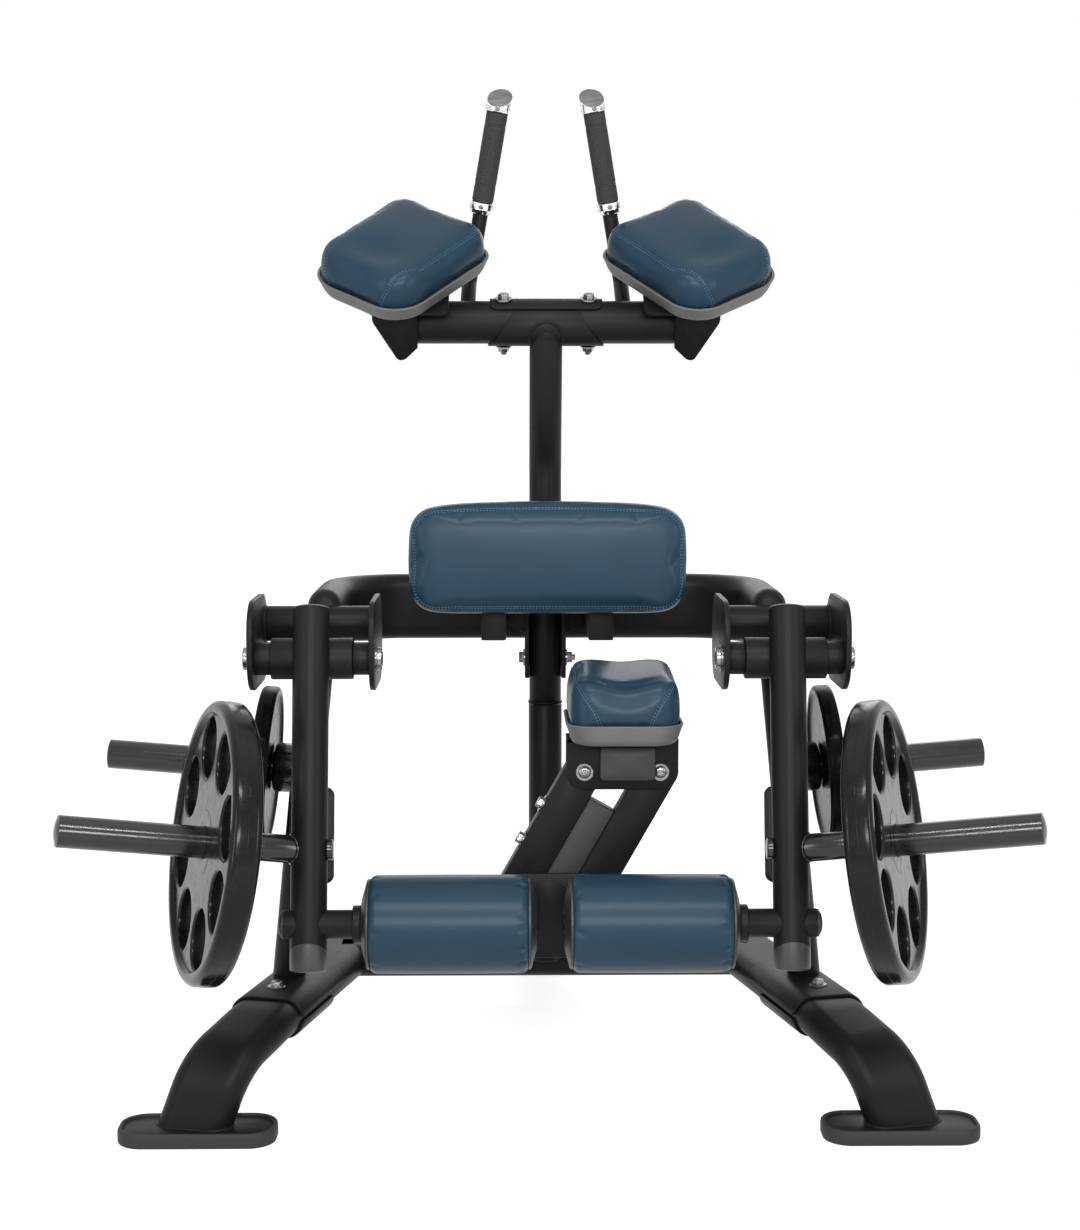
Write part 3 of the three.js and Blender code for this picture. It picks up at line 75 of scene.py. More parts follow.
def v3(x, y, z):
    """A drawing point in millimetres as an array."""
    return np.array([x, y, z], float)


def spot(x, y, z):
    """A drawing point in millimetres as a point of the frame in metres."""
    return np.array([x, y - MIDDLE_Y, z], float) / 1000.0


def unit(v):
    """The vector divided by its own length."""
    v = np.asarray(v, float)
    return v / np.linalg.norm(v)


def axes(along, hint):
    """Three unit vectors as columns: x as near the hint as it goes, y = z cross x, z along."""
    z = unit(along)
    hint = np.asarray(hint, float)
    x = unit(hint - z * (hint @ z))
    return np.column_stack([x, np.cross(z, x), z])


HORN = unit([351.0, -123.0, 56.0])
STORAGE = unit([329.0, 0.0, 27.0])


# Shapes as arrays of points and faces


def sheet_faces(rows, columns, wrap_rows, wrap_columns):
    """Quads of a grid of rows x columns points; a wrapped direction joins its last line to its first."""
    index = np.arange(rows * columns).reshape(rows, columns)
    if wrap_rows:
        index = np.vstack([index, index[:1]])
    if wrap_columns:
        index = np.hstack([index, index[:, :1]])
    a, b, c, d = index[:-1, :-1], index[1:, :-1], index[1:, 1:], index[:-1, 1:]
    return np.stack([a, b, c, d], axis=-1).reshape(-1, 4)


def surface(points, wrap_rows=False, wrap_columns=False):
    """A grid of points (rows, columns, 3) as (points, quads)."""
    rows, columns = points.shape[:2]
    return points.reshape(-1, 3), sheet_faces(rows, columns, wrap_rows, wrap_columns)


def stacked(rings):
    """Rings (outline, height) as one surface that wraps round."""
    rows = [np.column_stack([ring, np.full(len(ring), float(height))]) for ring, height in rings]
    return surface(np.stack(rows), wrap_columns=True)


def lathe(profile, steps, closed=False):
    """Each profile point (r, h) goes round the z axis: (r cos t, r sin t, h)."""
    profile = np.asarray(profile, float)
    t = np.arange(steps) * TURN / steps
    r, h = profile[:, 0], profile[:, 1]
    ring = np.stack([np.outer(np.cos(t), r), np.outer(np.sin(t), r), np.tile(h, (steps, 1))], axis=-1)
    return surface(ring, wrap_rows=True, wrap_columns=closed)


def placed(shape, origin, basis):
    """The shape turned by the basis columns and moved to the origin."""
    points, faces = shape
    return points @ np.asarray(basis).T + np.asarray(origin), faces


def mirrored(shape):
    """The shape with x turned to -x and its faces turned round."""
    points, faces = shape
    return points * MIRROR, faces[:, ::-1]


def run_along(path):
    """The length of the path up to each of its points."""
    return np.concatenate([[0.0], np.cumsum(np.linalg.norm(np.diff(path, axis=0), axis=1))])


def sampled(path, run, at):
    """The path's points at given lengths along it."""
    return np.column_stack([np.interp(at, run, column) for column in path.T])


def rounded_rectangle(count, half_long, half_wide, corner):
    """Points at equal steps round a rectangle with round corners."""
    straight_x, straight_y = half_long - corner, half_wide - corner
    lengths = np.array([2 * straight_y, corner * np.pi / 2, 2 * straight_x, corner * np.pi / 2] * 2)
    ends = np.cumsum(lengths)
    s = (np.arange(count) + 0.5) * ends[-1] / count
    part = np.searchsorted(ends, s, side="right")
    local = s - np.concatenate([[0.0], ends[:-1]])[part]
    heads = np.array([[1, -1], [1, 1], [1, 1], [-1, 1], [-1, 1], [-1, -1], [-1, -1], [1, -1]], float)
    centre = heads[part] * np.array([straight_x, straight_y])
    quarter = part // 2 * (np.pi / 2)
    turn = np.where(part % 2 == 1, local / corner, 0.0) + quarter
    points = centre + corner * np.stack([np.cos(turn), np.sin(turn)], axis=-1)
    run = np.where(part % 2 == 0, local, 0.0)[:, None]
    return points + run * np.stack([-np.sin(quarter), np.cos(quarter)], axis=-1)


def even_outline(width, height, near, far, count):
    """A rectangle whose corners have one radius at +x and another at -x, at equal steps."""
    w, h = width / 2, height / 2
    line = round_profile([(w, -h), (w, h), (-w, h), (-w, -h)], [near, near, far, far], 25)
    line = np.vstack([line, line[:1]])
    run = run_along(line)
    return sampled(line, run, np.arange(count) * run[-1] / count)


def pad_shape(outline, half, levels, top, rings):
    """A pad as rings of its outline.

    From the middle of the underside out to the edge, then one ring for each level (inset, height),
    then rings that shrink to the middle while the height follows top(x, y) in full at the centre.
    """
    half = np.asarray(half, float)
    inset, height = np.array(levels, float).T
    rows = []
    for share in np.linspace(0.0, 1.0, rings, endpoint=False):
        edge = outline * (1 - inset[0] / half) * share
        rows.append(np.column_stack([edge, np.full(len(edge), height[0])]))
    for gap, level in zip(inset, height):
        edge = outline * (1 - gap / half)
        lift = top(edge[:, 0], edge[:, 1]) * np.clip(level / height[-1], 0, 1) ** 2
        rows.append(np.column_stack([edge, level + lift]))
    for share in np.linspace(1.0, 0.0, rings * 2 + 1)[1:]:
        edge = outline * (1 - inset[-1] / half) * share
        rows.append(np.column_stack([edge, height[-1] + top(edge[:, 0], edge[:, 1])]))
    return surface(np.stack(rows), wrap_columns=True)


def hex_head(radius, tall, washer, washer_tall, thread=0.0):
    """A washer disc with a six sided head on it, and the thread's end where a thread radius is given."""
    low, high = washer_tall, washer_tall + tall
    rim = [(washer, 0), (washer, low * 0.7), (washer * 0.94, low)]
    disc = lathe([(0, 0), *rim, (0, low)], 40)
    head = lathe([(radius, low), (radius, high - tall * 0.14), (radius * 0.9, high), (thread, high)], 6)
    if not thread:
        return [disc, head]
    shoulder, top = high + tall * 0.45, high + tall * 0.6
    tip = lathe([(thread, high), (thread, shoulder), (thread * 0.8, top), (0, top)], 20)
    return [disc, head, tip]


def button_head(radius, tall, socket):
    """A low dome with a hexagon socket: height = tall sqrt(1 - (r / radius)^2), flat inside the socket."""
    r = np.linspace(radius, socket * 1.5, 10)
    rise = tall * np.sqrt(np.clip(1 - (r / radius) ** 2, 0, 1))
    dome = lathe([(0, 0), (radius, 0), *zip(r, rise)], 36)
    rim = rise[-1]
    hollow = lathe([(socket * 1.5, rim), (socket, rim), (socket, rim * 0.45), (0, rim * 0.45)], 6)
    return [dome, hollow]


def round_profile(points, radii, count=5):
    """A closed profile whose corners are arcs that start a given length before each corner.

    The arc is the rational curve ((1-t)^2 a + 2 w t (1-t) p + t^2 b) / sum, with w = sin(half corner).
    """
    points = np.asarray(points, float)
    out = []
    for i, (p, r) in enumerate(zip(points, radii)):
        if r <= 0:
            out.append(p)
            continue
        a, b = unit(points[i - 1] - p), unit(points[(i + 1) % len(points)] - p)
        weight = np.sqrt(np.clip((1 - a @ b) / 2, 0, 1))
        t = np.linspace(0, 1, count)[:, None]
        first, mid, last = (1 - t) ** 2, 2 * weight * t * (1 - t), t**2
        out += list((first * (p + a * r) + mid * p + last * (p + b * r)) / (first + mid + last))
    return np.array(out)


def make(name, shapes, finish, body, weld=1e-6, smooth=40.0, recalc=True):
    """One mesh object at the origin from shapes, with doubles merged, riding on a body."""
    points, faces, start = [], [], 0
    for pts, quads in shapes:
        points.append(pts)
        faces.append(quads + start)
        start += len(pts)
    mesh = bpy.data.meshes.new(name)
    mesh.from_pydata(np.vstack(points).tolist(), [], np.vstack(faces).tolist())
    work = bmesh.new()
    work.from_mesh(mesh)
    bmesh.ops.remove_doubles(work, verts=work.verts, dist=weld)
    bmesh.ops.dissolve_degenerate(work, edges=work.edges, dist=weld)
    if recalc:
        bmesh.ops.recalc_face_normals(work, faces=work.faces)
    work.to_mesh(mesh)
    work.free()
    mesh.polygons.foreach_set("use_smooth", [True] * len(mesh.polygons))
    mesh.set_sharp_from_angle(angle=np.radians(smooth))
    piece = bpy.data.objects.new(name, mesh)
    bpy.context.scene.collection.objects.link(piece)
    mesh.materials.append(finish)
    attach(piece, body)
    return piece


# Shader maths


class Value:
    """A socket of a node tree that can be added, taken away and multiplied like a number."""

    def __init__(self, tree, socket):
        self.tree, self.socket = tree, socket

    def __add__(self, other):
        return maths(self.tree, "ADD", self, other)

    def __mul__(self, other):
        return maths(self.tree, "MULTIPLY", self, other)

    def __sub__(self, other):
        return maths(self.tree, "SUBTRACT", self, other)

    def __rsub__(self, other):
        return maths(self.tree, "SUBTRACT", other, self)

    def clamp(self):
        """The value held between 0 and 1."""
        return maths(self.tree, "ADD", self, 0.0, clamp=True)


def connect(tree, made, key, value):
    """Links a value to a node's input, or sets the input where it is a plain number or colour."""
    if isinstance(value, Value):
        tree.links.new(value.socket, made.inputs[key])
    else:
        made.inputs[key].default_value = value


def node(tree, kind, settings=None, values=(), output=0):
    """Adds a node, sets its settings and its inputs in order (or by name), returns one output."""
    made = tree.nodes.new(kind)
    for key, setting in (settings or {}).items():
        setattr(made, key, setting)
    for key, value in values.items() if isinstance(values, dict) else enumerate(values):
        connect(tree, made, key, value)
    return Value(tree, made.outputs[output])


def maths(tree, operation, first, second, clamp=False):
    """One operation on two values or numbers, held between 0 and 1 on request."""
    return node(tree, "ShaderNodeMath", {"operation": operation, "use_clamp": clamp}, [first, second])


def toned(tree, share, colour, low, high):
    """The colour times low where share is 0 and times high where it is 1."""
    first, second = ((*(min(1.0, c * factor) for c in colour), 1.0) for factor in (low, high))
    return node(tree, "ShaderNodeMix", {"data_type": "RGBA"}, {0: share, 6: first, 7: second}, output=2)


def finish_material(name, constants):
    """A material with one Principled shader whose steady sockets are set directly."""
    paint = bpy.data.materials.new(name)
    paint.use_nodes = True
    tree = paint.node_tree
    shader = next(n for n in tree.nodes if n.type == "BSDF_PRINCIPLED")
    for key, value in constants.items():
        shader.inputs[key].default_value = value
    return paint, tree, shader


def feed(tree, shader, **links):
    """Links values to the shader's varying sockets, named with underscores for spaces."""
    for key, value in links.items():
        tree.links.new(value.socket, shader.inputs[key.replace("_", " ")])


def place_of(tree):
    """Object coordinates as a value."""
    return node(tree, "ShaderNodeTexCoord", output=3)


def noise(tree, place, scale, detail=2.0, rough=0.5):
    """Cloudy noise from 0 to 1."""
    values = {"Vector": place, "Scale": scale, "Detail": detail, "Roughness": rough}
    return node(tree, "ShaderNodeTexNoise", values=values)


def bumped(tree, height, strength, distance):
    """The surface's direction, tilted by a height."""
    values = {"Strength": strength, "Distance": distance, "Height": height}
    return node(tree, "ShaderNodeBump", values=values)


def spread(value, low, high):
    """Stretches a value from 0..1 to low..high."""
    return value * (high - low) + low


def powder_coat(name, colour, low, high):
    """Satin paint: faint mottling of the colour, roughness that wanders, orange peel bump."""
    paint, tree, shader = finish_material(name, {"Specular IOR Level": 0.12, "Metallic": 0.0})
    place = place_of(tree)
    cloud = noise(tree, place, scale=7.0, detail=3.0)
    peel = noise(tree, place, scale=900.0)
    dust = noise(tree, place, scale=60.0, detail=4.0, rough=0.6)
    feed(
        tree,
        shader,
        Base_Color=toned(tree, cloud, colour, low=0.86, high=1.16),
        Roughness=spread(dust * 0.6 + cloud * 0.4, low, high),
        Normal=bumped(tree, peel, strength=0.35, distance=0.00006),
    )
    return paint


def vinyl(name, colour):
    """Upholstery vinyl: fine leather grain from cells, soft folds, slight change of tone."""
    paint, tree, shader = finish_material(name, {"Specular IOR Level": 0.17})
    place = place_of(tree)
    cells = {"Vector": place, "Scale": 520.0}
    grain = node(tree, "ShaderNodeTexVoronoi", {"feature": "DISTANCE_TO_EDGE"}, cells)
    soft = noise(tree, place, scale=9.0)
    fine = noise(tree, place, scale=1400.0)
    creases = (grain * 6.0).clamp()
    feed(
        tree,
        shader,
        Base_Color=toned(tree, soft, colour, low=0.88, high=1.14),
        Roughness=spread(1.0 - creases, low=0.3, high=0.44) + spread(soft, low=-0.04, high=0.04),
        Normal=bumped(tree, creases * 0.7 + fine * 0.3, strength=0.22, distance=0.00012),
    )
    return paint


def moulded(name, colour, rough, grain_scale, depth):
    """Moulded plastic or rubber: fine even grain and slight wear in the roughness."""
    paint, tree, shader = finish_material(name, {"Specular IOR Level": 0.4})
    place = place_of(tree)
    grain = noise(tree, place, scale=grain_scale, detail=3.0, rough=0.6)
    wear = noise(tree, place, scale=14.0, detail=4.0)
    feed(
        tree,
        shader,
        Base_Color=toned(tree, wear, colour, low=0.9, high=1.1),
        Roughness=spread(wear * 0.5 + grain * 0.5, rough - 0.07, rough + 0.07),
        Normal=bumped(tree, grain, strength=0.4, distance=depth),
    )
    return paint


def glossy_coat(name, colour, gloss, coat):
    """Glossy coating: deep black, small ripples and handling marks under a clear coat."""
    paint, tree, shader = finish_material(name, {"Specular IOR Level": gloss, "Coat Roughness": 0.14})
    place = place_of(tree)
    ripple = noise(tree, place, scale=16.0)
    marks = noise(tree, place, scale=55.0, detail=5.0, rough=0.65)
    smear = ((marks - 0.5) * 3.0).clamp()
    feed(
        tree,
        shader,
        Base_Color=toned(tree, smear, colour, low=0.8, high=1.5),
        Roughness=spread(smear, low=0.2, high=0.38),
        Coat_Weight=spread(1.0 - smear, coat * 0.25, coat),
        Normal=bumped(tree, ripple, strength=0.25, distance=0.0012),
    )
    return paint


def metal(name, colour, low, high, brush):
    """Plated or polished metal: roughness changes along fine brush marks, and painted reflection darkens the
    colour in streaky patches along them.
    """
    paint, tree, shader = finish_material(name, {"Metallic": 1.0})
    place = place_of(tree)
    stretched = node(tree, "ShaderNodeMapping", values={"Vector": place, "Scale": brush})
    streaks = noise(tree, stretched, scale=260.0, detail=3.0)
    spots = noise(tree, place, scale=90.0, detail=3.0)
    # painted reflection: the colour drops to half in streaky patches that stand for dark surroundings
    # mirrored in the metal
    painted_reflection_patches = ((noise(tree, stretched, scale=38.0) - 0.5) * 2.6 + 0.62).clamp()
    feed(
        tree,
        shader,
        Base_Color=toned(tree, painted_reflection_patches, colour, low=0.5, high=1.0),
        Roughness=spread(streaks * 0.6 + spots * 0.4, low, high),
        Normal=bumped(tree, streaks, strength=0.12, distance=0.00004),
    )
    return paint


MATERIALS = {}


def material(name):
    """The finish of that name."""
    return MATERIALS[name]


# What a user would change


def colour_property(name, description, default):
    """A colour that the user can pick."""
    return FloatVectorProperty(name=name, description=description, subtype="COLOR", size=3, default=default)


def length_property(name, description, default):
    """A length that the user can set."""
    return FloatProperty(
        name=name, description=description, subtype="DISTANCE", unit="LENGTH", default=default
    )


class MachineColours(bpy.types.PropertyGroup):
    """Colours of the finishes."""

    steel: colour_property("Steel", "Powder coat of the frame", (0.0078, 0.0077, 0.0078))
    plates: colour_property("Plates", "Coating of the weight plates", (0.006, 0.006, 0.0064))
    vinyl: colour_property("Vinyl", "Upholstery of the pads", (0.0125, 0.035, 0.058))
    trays: colour_property("Trays", "Plastic trays and caps", (0.12, 0.117, 0.117))
    rubber: colour_property("Rubber", "Feet, stops and grips", (0.017, 0.017, 0.018))
    zinc: colour_property("Zinc", "Bolts, nuts and washers", (0.27, 0.27, 0.275))
    chrome: colour_property("Chrome", "Handle caps and collars", (0.82, 0.83, 0.84))


class MachineSizes(bpy.types.PropertyGroup):
    """Sizes of the dressed pieces."""

    seam: length_property("Seam groove", "Depth of the sewn seams", 0.0016)
    swell: length_property("Swell", "Most that a pad's skin may move", 0.006)
    voxel: length_property("Voxel", "Mesh size of the pads", 0.005)
    plate_steps: IntProperty(name="Plate steps", description="Steps round a plate", default=144, min=24)
    grip_rings: IntProperty(name="Grip rings", description="Rings at each grip end", default=2, min=0)


def colours():
    """The colours that the user chose."""
    return bpy.context.scene.machine_colours


def sizes():
    """The sizes that the user chose."""
    return bpy.context.scene.machine_sizes


# Upholstery


PUFF_PRESSURE = 4.0
PUFF_FRAMES = 12
SEAM_WIDTH = 0.0032
STITCH_STEP = 0.0055
STITCH_RADIUS = 0.0006


def swell(piece, cap, voxel):
    """Puffs a closed pad up with a cloth simulation: moved = moved x cap / sqrt(size^2 + cap^2)."""
    remesh = piece.modifiers.new("even", "REMESH")
    remesh.mode, remesh.voxel_size = "VOXEL", voxel
    bpy.context.view_layer.update()
    settle(piece)
    still = coordinates(piece)
    cloth = piece.modifiers.new("puff", "CLOTH")
    cloth.settings.use_pressure = True
    cloth.settings.uniform_pressure_force = PUFF_PRESSURE
    cloth.settings.effector_weights.gravity = 0.0
    cloth.settings.quality = 3
    cloth.point_cache.frame_start, cloth.point_cache.frame_end = 1, PUFF_FRAMES
    for number in range(1, PUFF_FRAMES + 1):
        bpy.context.scene.frame_set(number)
    settle(piece)
    bpy.context.scene.frame_set(1)
    moved = coordinates(piece) - still
    size = np.linalg.norm(moved, axis=1, keepdims=True)
    moved *= cap / np.hypot(size, cap)
    piece.data.vertices.foreach_set("co", (still + moved).ravel())
    piece.data.update()


def settle(piece):
    """Applies the piece's modifiers to its mesh."""
    graph = bpy.context.evaluated_depsgraph_get()
    mesh = bpy.data.meshes.new_from_object(piece.evaluated_get(graph))
    old = piece.data
    mesh.materials.clear()
    for used in old.materials:
        mesh.materials.append(used)
    piece.modifiers.clear()
    piece.data = mesh
    bpy.data.meshes.remove(old)
    mesh.polygons.foreach_set("use_smooth", [True] * len(mesh.polygons))


def coordinates(piece):
    """The points of the piece's mesh, one row each."""
    values = np.empty(len(piece.data.vertices) * 3)
    piece.data.vertices.foreach_get("co", values)
    return values.reshape(-1, 3)


def refine(piece):
    """Subdivides the pad's mesh for its seams."""
    step = piece.modifiers.new("fine", "SUBSURF")
    step.levels = step.render_levels = 1
    bpy.context.view_layer.update()
    settle(piece)


def distance_to(points, path):
    """Least distance of each point to a polyline."""
    best = np.full(len(points), 1e9)
    for a, b in zip(path[:-1], path[1:]):
        edge = b - a
        t = np.clip(((points - a) @ edge) / max(edge @ edge, 1e-12), 0, 1)
        best = np.minimum(best, np.linalg.norm(points - (a + t[:, None] * edge), axis=1))
    return best


def snapped(piece, path, count):
    """The polyline sampled at even steps and laid on the pad's nearest surface points."""
    path = np.asarray(path, float)
    run = run_along(path)
    found, normals = [], []
    for p in sampled(path, run, np.linspace(0, run[-1], count)):
        hit, place, normal = piece.closest_point_on_mesh(Vector(p))[:3]
        if not hit:
            raise RuntimeError(f"a seam of {piece.name} finds no surface")
        found.append(place)
        normals.append(normal)
    return np.array(found), np.array(normals)


def sew(piece, paths, depth):
    """Presses grooves along the seams and lays a row of stitches on each side of them."""
    points = coordinates(piece)
    normals = np.empty(len(points) * 3)
    piece.data.vertices.foreach_get("normal", normals)
    normals = normals.reshape(-1, 3)
    shapes = []
    press = np.zeros(len(points))
    for path in paths:
        length = np.linalg.norm(np.diff(path, axis=0), axis=1).sum()
        on, up = snapped(piece, path, max(12, int(length / 0.004)))
        near = distance_to(points, on)
        press = np.maximum(press, np.exp(-((near / (SEAM_WIDTH * 0.5)) ** 2)))
        shapes += stitches(on, up)
    points -= normals * (press * depth)[:, None]
    piece.data.vertices.foreach_set("co", points.ravel())
    piece.data.update()
    return shapes


def stitches(path, normals):
    """Short threads, each a small capsule profile, along both sides of a seam."""
    run = run_along(path)
    count = max(2, int(run[-1] / STITCH_STEP))
    s = np.linspace(-1, 1, 5)
    fat = np.sqrt(np.clip(1 - s**2, 0, 1)) * STITCH_RADIUS
    profile = lathe(np.column_stack([fat, s * STITCH_STEP * 0.34]), 6)
    middles = (np.arange(count) + 0.5) * run[-1] / count
    places, ups = sampled(path, run, middles), sampled(normals, run, middles)
    ends = sampled(path, run, middles + STITCH_STEP * 0.3)
    shapes = []
    for sign in (-1.0, 1.0):
        for place, end, up in zip(places, ends, ups):
            up, along = unit(up), end - place
            if np.linalg.norm(along) < 1e-6:
                continue
            side = np.cross(up, unit(along))
            at = place + side * sign * SEAM_WIDTH * 0.62 + up * 0.00025
            shapes.append(placed(profile, at, axes(along, up)))
    return shapes


ELBOW_TILT, ELBOW_TURN = np.radians(34.3), np.radians(52.4)
ELBOW_UP = np.array([0, -np.sin(ELBOW_TILT), np.cos(ELBOW_TILT)])
ELBOW_BACK = np.array([0, np.cos(ELBOW_TILT), np.sin(ELBOW_TILT)])
ELBOW_LONG = np.array([-np.cos(ELBOW_TURN), 0, 0]) + ELBOW_BACK * np.sin(ELBOW_TURN)
ELBOW_BASIS = axes(ELBOW_UP, ELBOW_LONG)
ELBOW_THICK = 0.056
ELBOW_FLOOR = spot(255, 300, 1473.6) - ELBOW_UP * ELBOW_THICK


def elbow_top(x, y):
    """A crown that falls to the edges, less a scoop where the elbow rests and a low front end."""
    crown = 0.004 * (1 - (x / 0.13) ** 2) * (1 - (y / 0.11) ** 2)
    scoop = 0.0145 * np.exp(-(((x + 0.062) / 0.034) ** 2) - (y / 0.064) ** 2)
    front = 0.009 * np.clip((-x - 0.07) / 0.055, 0, 1) ** 1.5
    return crown - scoop - front


def elbow_pad():
    """The elbow pad, flat underneath, with its rounder corners at the end where the elbow rests."""
    outline = even_outline(0.253, 0.207, 0.034, 0.056, 200)
    levels = [(0.0, 0.0), (-0.0015, 0.008), (-0.0015, 0.024), (0.0005, 0.042)]
    levels += [(0.004, 0.053), (0.0105, 0.0615), (0.02, 0.0645)]
    return pad_shape(outline, (0.1265, 0.1035), levels, elbow_top, 12)


def elbow_seams():
    """Two seams that climb the front end, turn past its corners and run along the long edges' shoulders."""
    t = np.linspace(0, 1, 60)
    lines = []
    for side in (-1.0, 1.0):
        climb = np.clip(t / 0.3, 0, 1)
        along = np.clip((t - 0.3) / 0.7, 0, 1)
        x = -0.126 + 0.045 * climb**1.6 + 0.2 * along
        y = side * (0.058 + 0.02 * climb + 0.0145 * np.sin(np.clip(along * 5, 0, 1) * np.pi / 2))
        z = 0.006 + 0.05 * np.sin(climb * np.pi / 2) + 0.004 * np.clip(along * 4, 0, 1)
        lines.append(np.column_stack([x, y, z]))
    return lines


KNEE_CENTRE = np.array([121.7, 20.0])
KNEE_FLOOR = spot(KNEE_CENTRE[0], KNEE_CENTRE[1], 668.8)


def knee_top(x, y):
    """A saddle: a channel along y, deepest in the middle, with its ends turned up a little."""
    back = np.clip(y / 0.105, -1, 1)
    slope = 0.0085 * back - 0.0035
    channel = -(0.0095 - 0.0035 * back) * np.exp(-((x / 0.044) ** 2))
    bowed = y + 0.083 - 0.018 * (x / 0.08) ** 2
    crease = -0.0035 * np.exp(-((bowed / 0.011) ** 2)) * np.exp(-((x / 0.06) ** 4))
    return slope + channel + crease


def knee_pad():
    """The knee pad: a tall block with upright sides."""
    outline = rounded_rectangle(168, 0.0872, 0.1052, 0.034)
    levels = [(0.0, 0.0), (-0.0012, 0.012), (-0.0015, 0.03), (-0.001, 0.055)]
    levels += [(0.0015, 0.072), (0.0055, 0.083), (0.012, 0.089), (0.02, 0.0905)]
    return pad_shape(outline, (0.0865, 0.1045), levels, knee_top, 10)


def knee_seams():
    """Four corner seams: from the base out and up to each corner, then along the top's side edges."""
    t = np.linspace(0, 1, 60)
    lines = []
    for front in (-1.0, 1.0):
        for side in (-1.0, 1.0):
            rise = np.clip(t / 0.45, 0, 1)
            along = np.clip((t - 0.45) / 0.55, 0, 1)
            x = side * (0.04 + 0.04 * rise**1.3 + 0.003 * along)
            y = front * (0.106 - 0.012 * rise**4 - 0.094 * along)
            z = 0.004 + 0.068 * rise**0.85 + (0.01 if front > 0 else 0.002) * rise**4 + 0.006 * along
            lines.append(np.column_stack([x, y, z]))
    return lines


def thigh_top(x, y):
    """A broad crown that fades at the edges."""
    return 0.007 * (1 - (x / 0.238) ** 2) * (1 - (y / 0.095) ** 2)


def thigh_edge(outline):
    """The outline with a bowed top: ends 9 mm lower, middle 2 mm higher than its straight edge."""
    bow = 0.011 * (1 - (outline[:, 0] / 0.2345) ** 2) - 0.009
    return outline + np.column_stack([np.zeros(len(outline)), bow * np.clip(outline[:, 1] / 0.0915, 0, 1)])


def thigh_pad():
    """The thigh pad, whose long edges are drawn in a little at the ends."""
    outline = thigh_edge(rounded_rectangle(220, 0.2345, 0.0915, 0.044))
    outline[:, 0] *= 1 - 0.006 * (1 - (outline[:, 1] / 0.0915) ** 2)
    levels = [(0.001, 0.0), (-0.001, 0.01), (-0.0015, 0.028), (0.0005, 0.043)]
    levels += [(0.005, 0.053), (0.012, 0.059), (0.02, 0.061)]
    return pad_shape(outline, (0.2345, 0.0915), levels, thigh_top, 10)


def thigh_seams():
    """One seam round the pad's front edge."""
    loop = thigh_edge(rounded_rectangle(120, 0.2285, 0.0855, 0.04))
    loop = np.vstack([loop, loop[:1]])
    return [np.column_stack([loop, np.full(len(loop), 0.056)])]


def roller_pad():
    """A foam roller: full in the middle, with round ends drawn in to the discs."""
    half, radius = 0.1273, 0.0778
    t = np.linspace(0, np.pi / 2, 14)
    corner, bore = 0.013, 0.033
    round_end = np.column_stack([radius - corner + corner * np.sin(t), half - corner + corner * np.cos(t)])
    body = np.linspace(half - corner, -(half - corner), 60)[1:-1]
    middle = np.column_stack([radius + 0.0006 * np.cos(body / half * np.pi / 2), body])
    upper = [(bore, half), *round_end.tolist(), *middle.tolist()]
    lower = [(r, -h) for r, h in round_end[::-1].tolist()]
    points, faces = lathe([*upper, *lower, (bore, -half), (bore, half)], 192)
    turn = np.arctan2(points[:, 1], points[:, 0])
    near_end = np.exp(-(((half - 0.0105 - abs(points[:, 2])) / 0.0062) ** 2))
    phase = 11 * turn + 2.1 * np.sin(3 * turn) + np.sign(points[:, 2])
    ripple = np.sin(phase) + 0.5 * np.sin(17 * turn + 1.3)
    pinch = np.clip(ripple - 0.3, 0, None) ** 1.5
    radial = np.hypot(points[:, 0], points[:, 1])
    inward = 0.0034 * near_end * pinch * np.clip((radial - 0.06) / 0.012, 0, 1)
    points[:, :2] *= (1 - inward / radial)[:, None]
    points[:, 2] -= np.sign(points[:, 2]) * inward * 0.5
    return points, faces


class MACHINE_OT_pads(bpy.types.Operator):
    """Build the elbow, thigh and knee pads and the rollers, puff them up and sew them"""

    bl_idname = "machine.pads"
    bl_label = "Pads"

    def execute(self, context):
        size = sizes()
        thigh = thigh_pad(), thigh_seams(), spot(0, 180, 931), axes((0, -1, 0), (1, 0, 0))
        knee = knee_pad(), knee_seams(), KNEE_FLOOR, np.eye(3)
        elbow = elbow_pad(), elbow_seams(), ELBOW_FLOOR, ELBOW_BASIS
        for name, stands_for, body, plan, flip in (
            ("thigh_pad", "thigh_cushion", "frame", thigh, False),
            ("knee_pad", "knee_cushion", "carriage", knee, False),
            ("elbow_pad_right", "elbow_cushion_right", "frame", elbow, False),
            ("elbow_pad_left", "elbow_cushion_left", "frame", elbow, True),
        ):
            shape, seams, floor, basis = plan
            world = placed(shape, floor, basis)
            lines = [line @ basis.T + floor for line in seams]
            if flip:
                world = mirrored(world)
                lines = [line * MIRROR for line in lines]
            piece = make(name, [world], material("vinyl"), body)
            swell(piece, size.swell, size.voxel)
            refine(piece)
            thread = sew(piece, lines, size.seam)
            make(f"{name}_stitches", thread, material("thread"), body, recalc=False)
            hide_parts(stands_for)
        for side, sign in SIDES:
            centre = spot(sign * 161.5, AXLE[1], AXLE[2])
            shape = placed(roller_pad(), centre, axes((1, 0, 0), (0, 0, 1)))
            piece = make(f"roller_pad_{side}", [shape], material("vinyl"), f"roller_{side}")
            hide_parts(f"roller_cushion_{side}")
        return {"FINISHED"}


# Trays


